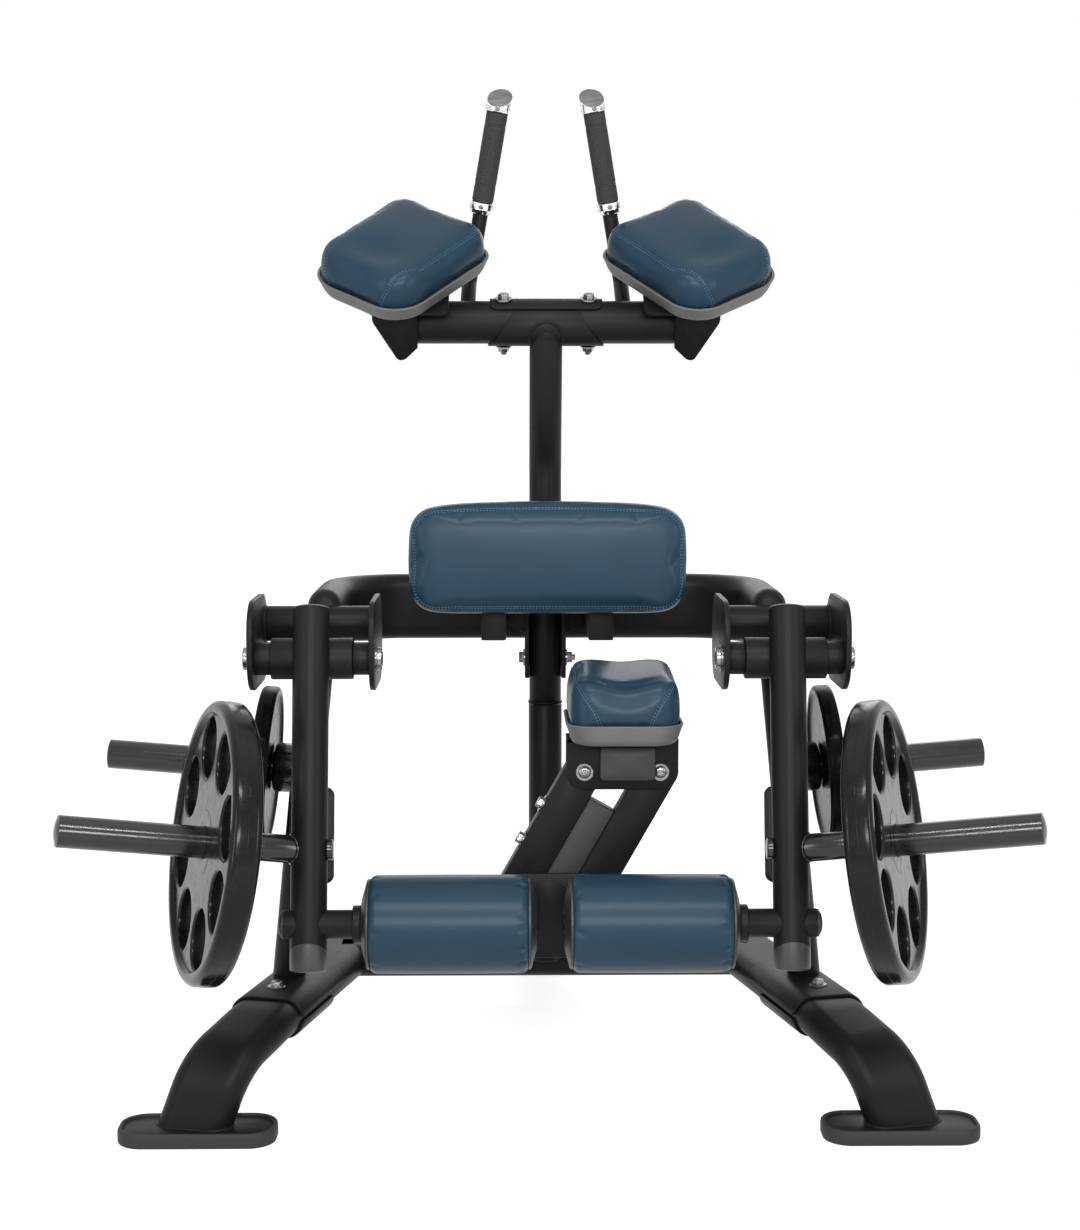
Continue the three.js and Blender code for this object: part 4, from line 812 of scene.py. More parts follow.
def tray_shape(outline, half, tall, lip, slope):
    """A pan: outside from the floor's round edge up a slope to the lip, then down inside the wall."""
    floor = tall - 0.0085
    levels = [(slope + 0.012, 0.0), (slope + 0.006, 0.0008), (slope + 0.0015, 0.004)]
    levels += [(slope * 0.75, tall * 0.35), (slope * 0.3, tall * 0.75), (0.0, tall - 0.001)]
    levels += [(0.0007, tall), (lip - 0.0007, tall), (lip, tall - 0.001), (lip, floor)]
    half = np.asarray(half, float)
    rings = [(outline * share, 0.0) for share in np.linspace(0, 0.85, 5)]
    rings += [(outline * (1 - inset / half), height) for inset, height in levels]
    rings += [(outline * (1 - lip / half) * share, floor) for share in np.linspace(0.8, 0, 4)]
    return stacked(rings)


class MACHINE_OT_trays(bpy.types.Operator):
    """Build the moulded trays under the elbow pads and the knee pad"""

    bl_idname = "machine.trays"
    bl_label = "Trays"

    def execute(self, context):
        outline = even_outline(0.27, 0.224, 0.042, 0.064, 200)
        shape = tray_shape(outline, (0.135, 0.112), 0.032, 0.0045, 0.009)
        floor = ELBOW_FLOOR - ELBOW_UP * 0.0233
        for side, sign in SIDES:
            world = placed(shape, floor, ELBOW_BASIS)
            world = mirrored(world) if sign < 0 else world
            piece = make(f"elbow_tray_shell_{side}", [world], material("trays"), "frame")
            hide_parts(f"elbow_tray_{side}")
        outline = rounded_rectangle(160, 0.096, 0.114, 0.046)
        shape = tray_shape(outline, (0.096, 0.114), 0.035, 0.0045, 0.01)
        world = placed(shape, spot(*KNEE_CENTRE, 642.3), np.eye(3))
        piece = make("knee_tray_shell", [world], material("trays"), "carriage")
        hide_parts("knee_tray")
        return {"FINISHED"}


# Weight plates


def plate_ring(profile, steps):
    """A closed ring of the plate: profile points (r, z) turned round the bore."""
    return lathe(profile, steps, closed=True)


def web_cell(number, holes, ring, hole, inner, outer, half, steps):
    """One cell of the web round one grip hole.

    The outer line runs round the cell (two arcs and two radii), the inner line round the hole.
    Between them the surface goes flat, rounds over the hole's edge and goes through to the far face.
    """
    middle = (number + 0.5) * TURN / holes
    half_angle = TURN / holes / 2
    s = np.arange(steps) / steps * 4
    side, t = s.astype(int), s % 1
    sides = [side == 0, side == 1, side == 2]
    inwards, outwards = outer + (inner - outer) * t, inner + (outer - inner) * t
    radius = np.select(sides, [outer, inwards, inner], outwards)
    angle = np.select(sides, [half_angle * (2 * t - 1), half_angle, half_angle * (1 - 2 * t)], -half_angle)
    edge = np.column_stack([radius * np.cos(angle) - ring, radius * np.sin(angle)])
    turn = np.arctan2(edge[:, 1], edge[:, 0])
    hole_line = np.column_stack([np.cos(turn), np.sin(turn)]) * hole
    soft = 0.004
    rows = []
    for share in (0.0, 0.3, 0.6, 0.85):
        flat = edge * (1 - share) + hole_line * (1 + soft / hole) * share
        rows.append(np.column_stack([flat, np.full(steps, half)]))
    for a in np.linspace(0, np.pi / 2, 5):
        grow = 1 + soft * (1 - np.sin(a)) / hole
        rows.append(np.column_stack([hole_line * grow, np.full(steps, half - soft * (1 - np.cos(a)))]))
    rows += [row * np.array([1, 1, -1.0]) for row in rows[::-1]]
    grid = np.stack(rows)
    grid[..., 0] += ring
    c, n = np.cos(middle), np.sin(middle)
    x, y, z = grid[..., 0], grid[..., 1], grid[..., 2]
    return surface(np.stack([x * c - y * n, x * n + y * c, z], axis=-1), wrap_columns=True)


def big_plate(steps):
    """Rim, hub and parting line of the large plate, then its eight web cells, about its middle plane."""
    rim = [(0.2, -0.0165), (0.2052, -0.024), (0.225, -0.024), (0.225, 0.024), (0.2052, 0.024), (0.2, 0.0165)]
    rim = round_profile(rim, [0.003, 0.003, 0.012, 0.012, 0.003, 0.003], 8)
    hub = [(0.026, -0.0174), (0.0512, -0.0174), (0.056, -0.014)]
    hub = round_profile(hub + [(r, -h) for r, h in hub[::-1]], [0.002, 0.001, 0.002, 0.002, 0.001, 0.002])
    t = np.linspace(0, TURN, 9)[:-1]
    parting_line = np.column_stack([0.225 + 0.00035 * np.cos(t), 0.0005 * np.sin(t)])
    holes = 8
    cells = [web_cell(k, holes, 0.153, 0.0485, 0.05, 0.203, 0.017, 128) for k in range(holes)]
    return [plate_ring(line, steps) for line in (rim, hub, parting_line)], cells


def small_plate(steps):
    """The storage plate: one closed ring with a raised rim and hub."""
    outline = [(0.026, -0.013), (0.038, -0.013), (0.044, -0.0105)]
    outline += [(0.122, -0.0105), (0.128, -0.015), (0.14, -0.015)]
    both = outline + [(r, -h) for r, h in outline[::-1]]
    radii = [0.002, 0.003, 0.003, 0.004, 0.003, 0.007]
    return [plate_ring(round_profile(both, radii + radii[::-1], 6), steps)]


class MACHINE_OT_plates(bpy.types.Operator):
    """Build the large plates with their grip holes and the small storage plates"""

    bl_idname = "machine.plates"
    bl_label = "Weight plates"

    def execute(self, context):
        steps = sizes().plate_steps
        rings, cells = big_plate(steps)
        horn = spot(*HORN_ROOT) + HORN * 0.141, axes(HORN, (0, 1, 0))
        storage = spot(*STORAGE_ROOT) + STORAGE * (0.0423 + 0.015), axes(STORAGE, (0, 1, 0))
        for side, sign in SIDES:
            for name, shapes, place, finish, node_name in (
                ("plate_rim", rings, horn, "plates", f"weight_plate_{side}"),
                ("plate_web", cells, horn, "plates", f"weight_plate_{side}"),
                ("storage_disc", small_plate(steps), storage, "storage", f"storage_plate_{side}"),
            ):
                world = [placed(s, *place) for s in shapes]
                world = [mirrored(s) for s in world] if sign < 0 else world
                web = name == "plate_web"
                options = {"weld": 1e-5, "smooth": 50, "recalc": not web}
                piece = make(f"{name}_{side}", world, material(finish), node_name, **options)
                if web:
                    face_out(piece)
                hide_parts(node_name)
        return {"FINISHED"}


def face_out(piece):
    """Turns the whole web so that its faces point out of the metal."""
    work = bmesh.new()
    work.from_mesh(piece.data)
    bmesh.ops.recalc_face_normals(work, faces=work.faces)
    work.to_mesh(piece.data)
    work.free()


# Handles

HANDLE_TOP, HANDLE_LOW = spot(81, 365, 1727), spot(116, 411.7, 1531)
HANDLE_UP = unit(HANDLE_TOP - HANDLE_LOW)
HANDLE_LONG = float(np.linalg.norm(HANDLE_TOP - HANDLE_LOW))


def grip_sleeve(rings):
    """A rubber sleeve with thin engraved rings and, between them, small round dimples.

    Dimple depth = 1 mm times the positive part of cos(18 turn) cos(height) above 0.35, in a brick pattern.
    """
    low, high = 0.0203, HANDLE_LONG - 0.0233
    h = np.linspace(low + 0.002, high - 0.002, 300)
    r = np.full_like(h, 0.0191)
    edges = (low + 0.2 * (high - low), high - 0.16 * (high - low))
    for ring in range(rings):
        for middle in (edges[0] - ring * 0.0036, edges[1] + ring * 0.0036):
            r -= 0.0009 * np.exp(-(((h - middle) / 0.0009) ** 2))
    outer = np.column_stack([r, h])
    profile = [(0.0145, low), (0.0172, low), (0.0186, low + 0.0006), *outer.tolist()]
    profile += [(0.0186, high - 0.0006), (0.0172, high), (0.0145, high), (0.0145, low)]
    points, faces = lathe(profile, 176)
    turn, radial = np.arctan2(points[:, 1], points[:, 0]), np.hypot(points[:, 0], points[:, 1])
    wave = np.cos(18 * turn) * np.cos(points[:, 2] * TURN / 0.0076)
    height = points[:, 2]
    field = np.clip((height - edges[0]) / 0.004, 0, 1) * np.clip((edges[1] - height) / 0.004, 0, 1)
    depth = 0.001 * np.clip((wave - 0.35) / 0.65, 0, 1) * field * (radial > 0.0188)
    points[:, :2] *= (1 - depth / radial)[:, None]
    return points, faces


class MACHINE_OT_grips(bpy.types.Operator):
    """Build the handles: black stems, chrome collars and slanted caps, rubber sleeves and set screws"""

    bl_idname = "machine.grips"
    bl_label = "Handles"

    def execute(self, context):
        grip = placed(grip_sleeve(sizes().grip_rings), HANDLE_LOW, axes(HANDLE_UP, (1, 0, 0)))
        low, high = v3(115.8, 411.7, 1531.1), v3(81, 365, 1727)
        long = HANDLE_LONG * 1000
        stem = tube([low + HANDLE_UP * 4, (137, 440, 1412), (140, 335, 1334)], circle(13.5, 32), OUT, (30,))
        put_pair("handle_stem", [stem], "handle")
        collar = [(0, 0), (18.6, 0), (20, 1), (21.6, 6.5), (22.5, 8), (22.5, 19), (21.6, 20), (0, 20)]
        start = long - 23
        cap = [(0, start), (21.4, start), (23, start + 1.4), (23, long + 46), (0, long + 46)]
        face = unit([0, -1, 1])
        slanted = cut(turned(cap, low, HANDLE_UP, 72), face, high, HANDLE_UP)
        chrome = [turned(collar, low, HANDLE_UP, 72), slanted]
        put_pair("handle_chrome", chrome, "handle", finish="chrome", slot="bright_chrome", smooth=26.0)
        flat = [(0, start + 8), (21.6, start + 8), *((r, long + 46) for r in (21.6, 20.6, 18, 14, 9, 4, 0))]
        lid, faces = cut(turned(flat, low, HANDLE_UP, 72), face, high + face * 0.2, HANDLE_UP)
        gap = lid - low
        radial = np.linalg.norm(gap - (gap @ HANDLE_UP)[:, None] * HANDLE_UP, axis=1)
        on_top = (gap @ HANDLE_UP) > start + 9
        lid = lid + (on_top * 3.4 * (1 - (radial / 21.6) ** 2))[:, None] * face, faces
        put_pair("handle_lid", [lid], "handle", finish="brushed", slot="bright_chrome", smooth=26.0)
        ahead = axes(HANDLE_UP, -SIDE)[:, 0]
        screws = []
        for height, radius in ((0.0135, 0.0222), (HANDLE_LONG - 0.016, 0.0227)):
            at = HANDLE_LOW + HANDLE_UP * height + ahead * radius
            screws += [placed(s, at, axes(ahead, HANDLE_UP)) for s in button_head(0.0042, 0.0016, 0.0016)]
        for side, sign in SIDES:
            world = mirrored(grip) if sign < 0 else grip
            piece = make(f"grip_sleeve_{side}", [world], material("grip"), "frame", smooth=70)
            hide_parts(f"handle_grip_{side}")
            own = [mirrored(s) for s in screws] if sign < 0 else screws
            screw_piece = make(f"grip_screws_{side}", own, material("brushed"), "frame")
        return {"FINISHED"}


# Fasteners


def lifted(shapes, height):
    """The shapes moved along their own z axis."""
    return [(points + np.array([0, 0, height]), faces) for points, faces in shapes]


def bolt(at, along, kind):
    """A fastener of a kind at a point: its shapes turned to stand along a direction."""
    if kind == "nut":
        shapes = hex_head(0.0098, 0.009, 0.0145, 0.0026, thread=0.0055)
    elif kind == "hex":
        shapes = hex_head(0.0098, 0.008, 0.0155, 0.0026)
    else:
        washer = hex_head(0.0098, 0.008, 0.0148, 0.0026)[0]
        shapes = [washer, *lifted(button_head(0.0105, 0.004, 0.0034), 0.0026)]
    basis = axes(along, (0.3, 0.9, 0.2))
    return [placed(s, at, basis) for s in shapes]


class MACHINE_OT_bolts(bpy.types.Operator):
    """Build the bolts, nuts and washers of each moving body"""

    bl_idname = "machine.bolts"
    bl_label = "Bolts"

    def execute(self, context):
        frame_bolts = []
        for sign in (-1.0, 1.0):
            at = spot(*BAR) + OUT * sign * 0.075
            frame_bolts += bolt(at + POST_UP * 0.0418, POST_UP, "hex")
            frame_bolts += bolt(at - POST_UP * 0.0418, -POST_UP, "nut")
        frame_bolts += bolt(spot(-37.6, 404, 729), -OUT, "hex")
        frame_bolts += bolt(spot(37.6, 404, 729), OUT, "nut")
        for sign in (-1.0, 1.0):
            frame_bolts += bolt(spot(sign * 467.5, 126, 191.3), UP, "hex")
        carriage_bolts = []
        for x in (59.0, 184.4):
            carriage_bolts += bolt(spot(x, 9.4, 586), -SIDE, "socket")
        lean = unit(LINK)
        outer = v3(-lean[2], 0, lean[0])
        link_bolts = []
        for share in (0.4, 0.67):
            link_bolts += bolt(spot(*(v3(-66.4, 34, 365) + LINK * share + outer * 31)), outer, "hex")
        for name, shapes, body in (
            ("frame_bolts", frame_bolts, "frame"),
            ("carriage_bolts", carriage_bolts, "carriage"),
            ("link_bolts", link_bolts, "link_left"),
        ):
            make(name, shapes, material("zinc"), body)
        return {"FINISHED"}


# Steel, drawn in millimetres in the machine's own drawing, right side first


def circle(radius, steps=48):
    """Points round a circle."""
    t = np.arange(steps) * TURN / steps
    return np.column_stack([radius * np.cos(t), radius * np.sin(t)])


def flat_oval(grow=0.0):
    """The oval tube's section: half circles of radius 30, centres 60 apart along its second axis."""
    t = np.linspace(0, np.pi, 17)
    upper = np.column_stack([(30 + grow) * np.cos(t), 30 + (30 + grow) * np.sin(t)])
    return np.vstack([upper, -upper])


def bend(points, radii=(), step=np.radians(4)):
    """Points and directions along straight runs joined by arcs: start + inward R (1 - cos) + into R sin."""
    points = np.asarray(points, float)
    at, ahead = [points[:1]], [unit(points[1] - points[0])[None]]
    for before, corner, after, radius in zip(points, points[1:], points[2:], radii):
        into, out = unit(corner - before), unit(after - corner)
        angle = np.arccos(np.clip(into @ out, -1, 1))
        inward = unit(out - into * (into @ out))
        part = np.linspace(0, angle, int(angle / step) + 2)[:, None]
        start = corner - into * radius * np.tan(angle / 2)
        at.append(start + inward * radius * (1 - np.cos(part)) + into * radius * np.sin(part))
        ahead.append(into * np.cos(part) + inward * np.sin(part))
    at.append(points[-1:])
    ahead.append(unit(points[-1] - points[-2])[None])
    return np.vstack(at), np.vstack(ahead)


def sweep(at, ahead, loop, up, factor):
    """The loop (a, b) carried along: point + factor (a side + b top), with side = ahead x up."""
    side = np.cross(ahead, np.broadcast_to(np.asarray(up, float), ahead.shape))
    side /= np.linalg.norm(side, axis=1, keepdims=True)
    top = np.cross(side, ahead)
    flat = loop[None, :, :1] * side[:, None] + loop[None, :, 1:] * top[:, None]
    return surface(at[:, None] + flat * np.asarray(factor)[:, None, None], wrap_columns=True)


def tube(points, loop, up=(0, 0, 1), radii=(), edge=1.2):
    """A bent bar with flat ends whose edges are rounded by the edge size."""
    at, ahead = bend(points, radii)
    size = abs(loop).max()
    quarter = np.linspace(0, np.pi / 2, 3 if edge < 4 else 10)
    lift = np.concatenate([[0.0], 1 - np.cos(quarter)])[:, None] * edge
    shrink = np.concatenate([[0.0], 1 - (1 - np.sin(quarter)) * edge / size])
    count = len(shrink)
    path = np.vstack([at[0] + ahead[0] * lift, at[1:-1], at[-1] - ahead[-1] * lift[::-1]])
    way = np.vstack([np.repeat(ahead[:1], count, 0), ahead[1:-1], np.repeat(ahead[-1:], count, 0)])
    return sweep(path, way, loop, up, np.concatenate([shrink, np.ones(len(at) - 2), shrink[::-1]]))


def rod(radius, start, end, edge=1.0, steps=48):
    """A straight round bar."""
    way = np.asarray(end, float) - np.asarray(start, float)
    up = (0, 0, 1) if abs(unit(way)[2]) < 0.8 else (1, 0, 0)
    return tube([start, end], circle(radius, steps), up, (), edge)


def turned(profile, start, way, steps=64):
    """A profile (r, s) turned about the line from start along the way."""
    hint = (0, 0, 1) if abs(unit(way)[2]) < 0.8 else (1, 0, 0)
    return placed(lathe(profile, steps), start, axes(way, hint))


def cut(shape, normal, through, slide):
    """Points on the far side of a plane slide back to it along a direction."""
    points, faces = shape
    normal, slide = unit(normal), unit(slide)
    over = np.clip((points - np.asarray(through, float)) @ normal, 0, None)
    return points - (over / (slide @ normal))[:, None] * slide, faces


def slab(outline, thick, origin, basis, edge=1.2, centre=None):
    """A flat piece: its outline from z = 0 to thick, with round edges, in the basis' three columns."""
    outline = np.asarray(outline, float)
    centre = outline.mean(axis=0) if centre is None else np.asarray(centre, float)
    ahead = np.roll(outline, -1, axis=0) - np.roll(outline, 1, axis=0)
    inward = np.column_stack([-ahead[:, 1], ahead[:, 0]])
    inward /= np.linalg.norm(inward, axis=1, keepdims=True)
    x, y = outline.T
    if (x * np.roll(y, -1) - y * np.roll(x, -1)).sum() < 0:
        inward = -inward
    rows = []
    for inset, z in ((1, 0), (0.3, 0.3), (0, 1)):
        rows.append((outline + inward * inset * edge, z * edge))
    rows += [(flat, thick - z) for flat, z in rows[::-1]]
    middle = np.repeat(centre[None], len(outline), 0)
    return placed(stacked([(middle, 0.0), *rows, (middle, thick)]), origin, basis)


def box_outline(width, height, corner):
    """A rectangle about the origin with round corners."""
    w, h = width / 2, height / 2
    return round_profile([(w, -h), (w, h), (-w, h), (-w, -h)], [corner] * 4, 13)


def ribbon(place, lift, run, half, thick, edge=1.0):
    """A bent strip: each row is a rectangle, thick along the lift and half either way along the run."""
    sign = np.array([-1, -1, -1, 1, 1, 1, 1, 1, 1, -1, -1, -1.0])
    inset = np.array([1, 0.3, 0, 0, 0.3, 1, 1, 0.3, 0, 0, 0.3, 1]) * edge
    rise = np.array([0, 0.3, 1, 1, 0.3, 0, 0, 0.3, 1, 1, 0.3, 0]) * edge
    rise = np.where(np.arange(12) < 6, rise, thick - rise)
    order = [0, 1, 2, 9, 10, 11, 6, 7, 8, 3, 4, 5]
    along = sign[order] * (np.asarray(half)[:, None] - inset[order])
    run = np.asarray(run, float)
    grid = place[:, None] + lift[:, None] * rise[order][None, :, None] + along[..., None] * run
    ends = [np.repeat(grid[k].mean(axis=0)[None, None], 12, 1) for k in (0, -1)]
    return surface(np.concatenate([ends[0], grid, ends[1]]), wrap_columns=True)


def meeting(loop, way, about, axis, radius, first=True):
    """Where lines from the loop along the way meet a cylinder: |(p + h way) x axis| = radius."""
    way, axis = unit(way), unit(axis)
    gap = loop - np.asarray(about, float)
    flat = gap - (gap @ axis)[:, None] * axis
    run = way - (way @ axis) * axis
    a, b = run @ run, flat @ run
    c = (flat**2).sum(axis=1) - radius**2
    root = np.sqrt(np.clip(b**2 - a * c, 0, None))
    h = (-b - root) / a if first else (-b + root) / a
    return loop + h[:, None] * way


def bead(path, radius=2.4, pitch=5.0, closed=True):
    """A weld bead: a small round line whose radius swells by an eighth at each ripple."""
    path = np.asarray(path, float)
    if closed:
        path = np.vstack([path, path[:1]])
    run = run_along(path)
    even = np.linspace(0, run[-1], max(24, int(run[-1] / 1.25)))
    path = sampled(path, run, even)
    ahead = np.gradient(path, axis=0)
    ahead /= np.linalg.norm(ahead, axis=1, keepdims=True)
    up = unit(np.cross(ahead[0], (0.31, 0.52, 0.79)))
    flat = np.cross(path[len(path) // 3] - path[0], path[2 * len(path) // 3] - path[0])
    up = unit(flat) if np.linalg.norm(flat) > 1.0 else up
    factor = 1 + 0.125 * np.abs(np.sin(even * np.pi / pitch))
    if not closed:
        factor[0] = factor[-1] = 0.0
        return sweep(path, ahead, circle(radius, 10), up, factor)
    points = sweep(path[:-1], ahead[:-1], circle(radius, 10), up, factor[:-1])[0]
    return points, sheet_faces(len(path) - 1, 10, True, True)


STEEL = "satin_black_steel"
RUBBER = {"finish": "rubber", "slot": "dark_rubber"}


def put(name, shapes, stands_for, body="frame", finish="steel", slot=STEEL, smooth=32.0):
    """Makes one piece of the drawing in metres and hides the node of the frame that it stands for."""
    middle = np.array([0, MIDDLE_Y / 1000.0, 0])
    world = [(points / 1000.0 - middle, faces) for points, faces in shapes]
    piece = make(name, world, material(finish), body, weld=2e-6, smooth=smooth)
    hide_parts(stands_for)


def put_pair(name, shapes, stands_for, body="frame", **options):
    """The same piece for the right side and, mirrored, for the left."""
    for side, sign in SIDES:
        own_shapes = shapes if sign > 0 else [mirrored(s) for s in shapes]
        own_body = body if body == "frame" else f"{body}_{side}"
        put(f"{name}_{side}", own_shapes, f"{stands_for}_{side}", own_body, **options)


OUT, SIDE, UP = v3(1, 0, 0), v3(0, 1, 0), v3(0, 0, 1)
SPLAY = np.radians(13.4)
SPLAY_OUT = v3(np.sin(SPLAY), -np.cos(SPLAY), 0)
SPLAY_SIDE = v3(np.cos(SPLAY), np.sin(SPLAY), 0)
BEAM_ROOT = v3(381, 470, 156)
BEAM_JOINT = BEAM_ROOT + SPLAY_OUT * 383
LEVER_UP = v3(0, np.sin(LEVER_LEAN), np.cos(LEVER_LEAN))
LEVER_BACK = v3(0, np.cos(LEVER_LEAN), -np.sin(LEVER_LEAN))
LEVER_MIDDLE = v3(386, 0, 777) - LEVER_BACK * 46
HORN_ROOT = v3(400, -110, 482)
STORAGE_ROOT = v3(434, 215, 557)
AXLE = v3(0, -134.284, 366.5)
BAR = v3(0, 335, 1334)
LINK = v3(125.4, 0, 221)  # from a link's lower pin to its upper pin
POST_TILT = np.radians(20)
POST_UP = v3(0, -np.sin(POST_TILT), np.cos(POST_TILT))
POST_BACK = v3(0, np.cos(POST_TILT), np.sin(POST_TILT))
FACING = np.column_stack([OUT, UP, -SIDE])  # x across, y up, thickness towards the user
SIDEWAYS = np.column_stack([SIDE, UP, OUT])  # x back, y up, thickness to the right


def lever_at(z):
    """The lever's middle line at a height."""
    return LEVER_MIDDLE + LEVER_UP * (z - LEVER_MIDDLE[2]) / LEVER_UP[2]


def upright_at(z):
    """The upright's middle line at a height."""
    return v3(400 + (735 - z) * 55 / 549, 215, z)


def oval_shell(start, end, top):
    """A folded joint plate over (or under) the side beam: a 5 mm strip bent round the flat oval."""
    t = np.linspace(np.radians(83.5), 0, 18)
    arc = np.column_stack([30.3 * np.cos(t), 30 + 30.3 * np.sin(t)])
    normal = np.column_stack([np.cos(t), np.sin(t)])
    line = np.vstack([arc, arc[::-1] * [1, -1]])
    normal = np.vstack([normal, normal[::-1] * [1, -1]])
    sign = 1.0 if top else -1.0
    middle = BEAM_JOINT + SPLAY_OUT * (start + end) / 2
    place = middle + line[:, :1] * UP * sign + line[:, 1:] * SPLAY_SIDE
    lift = normal[:, :1] * UP * sign + normal[:, 1:] * SPLAY_SIDE
    reach = np.minimum(np.arange(36), np.arange(36)[::-1])
    half = (end - start) / 2 - np.array([7.0, 3.2, 1.0])[np.clip(reach, 0, 2)] * (reach < 3)
    return ribbon(place, lift, SPLAY_OUT, half, 5.0, 1.2)


def horn_bar(root, way, start, end):
    """A plate horn: a straight tube with a slightly domed plug let into its end."""
    profile = [(0, start), (25.3, start), (25.3, end - 2.2), (25.0, end - 1.0), (24.2, end - 0.5)]
    profile += [(23.2, end - 0.5), (22.9, end - 1.2), (22.4, end - 1.2), (22.0, end - 0.4)]
    profile += [(r, end - 0.4 + 4.6 * (1 - (r / 22) ** 2)) for r in (20, 16, 11, 6, 0)]
    return turned(profile, root, way)


def foot_rubber(x, y):
    """The rubber foot: a block with a raised lip round the foot plate's well."""
    outline = box_outline(258, 110, 44)
    half = np.array([129.0, 55.0])
    levels = [(4, 0), (1.2, 0.8), (0, 3.5), (0, 18), (0.6, 22), (2.2, 24.4)]
    levels += [(4, 25), (6, 24.6), (7.4, 23), (8, 20), (8, 13)]
    rings = [(outline * (1 - inset / half), height) for inset, height in levels]
    return placed(stacked([(outline * 0, 0), *rings, (outline * 0, 13)]), v3(x, y, 0), np.eye(3))


def foot_plate(x, y):
    """The steel plate in a rubber foot's well."""
    return slab(box_outline(241.4, 93.4, 35.7), 8.0, v3(x, y, 13.3), np.eye(3), 1.5)


class MACHINE_OT_base(bpy.types.Operator):
    """Build the crossbeam, the side beams, the legs and their rubber feet"""

    bl_idname = "machine.base"
    bl_label = "Base"

    def execute(self, context):
        oval = flat_oval()
        put("crossbeam_tube", [tube([(-381, 465, 156), (381, 465, 156)], oval, SIDE)], "crossbeam")
        beam = tube([BEAM_ROOT - SPLAY_OUT * 62, BEAM_JOINT], oval, SPLAY_SIDE, (), 2.0)
        put_pair("side_beam_tube", [beam, oval_shell(-200, 34, True)], "side_beam")
        knee = BEAM_JOINT + SPLAY_OUT * 184 + SPLAY_SIDE * 32 - UP * 36.5
        foot = BEAM_JOINT + SPLAY_OUT * 199 + SPLAY_SIDE * 65
        foot[2] = 21.3
        lean = unit(foot - knee)
        line = [BEAM_JOINT + SPLAY_OUT * 0.3, BEAM_JOINT + SPLAY_OUT * 60, knee, foot + lean * 30]
        leg = cut(tube(line, oval, SPLAY_SIDE, (120, 88), 0.5), -UP, v3(0, 0, 15), lean)
        at = foot[0] - 5.4, foot[1] - 9.5
        ring = self.ring(oval, foot, lean, SPLAY_SIDE)
        put_pair("leg_tube", [leg, foot_plate(*at), oval_shell(-138, 34, False), ring], "leg")
        put_pair("foot_rubber", [foot_rubber(*at)], "foot_pad", **RUBBER)
        front = [(0, 500, 156), (0, 585, 156), (0, 985, 110), (0, 985, 15)]
        ring = self.ring(oval, v3(0, 985, 21.3), -UP, OUT)
        leg = tube(front, oval, OUT, (120, 88), 0.5)
        put("front_leg_tube", [leg, foot_plate(0, 985), ring], "front_leg")
        put("foot_rubber_front", [foot_rubber(0, 985)], "foot_pad_front", **RUBBER)
        return {"FINISHED"}

    def ring(self, oval, foot, lean, wide):
        """The weld round a leg where it meets its foot plate."""
        side = unit(np.cross(lean, wide))
        top = np.cross(side, lean)
        line = foot + oval[:, :1] * side + oval[:, 1:] * top
        line = line - ((line[:, 2] - 21.3) / lean[2])[:, None] * lean
        return bead(line)


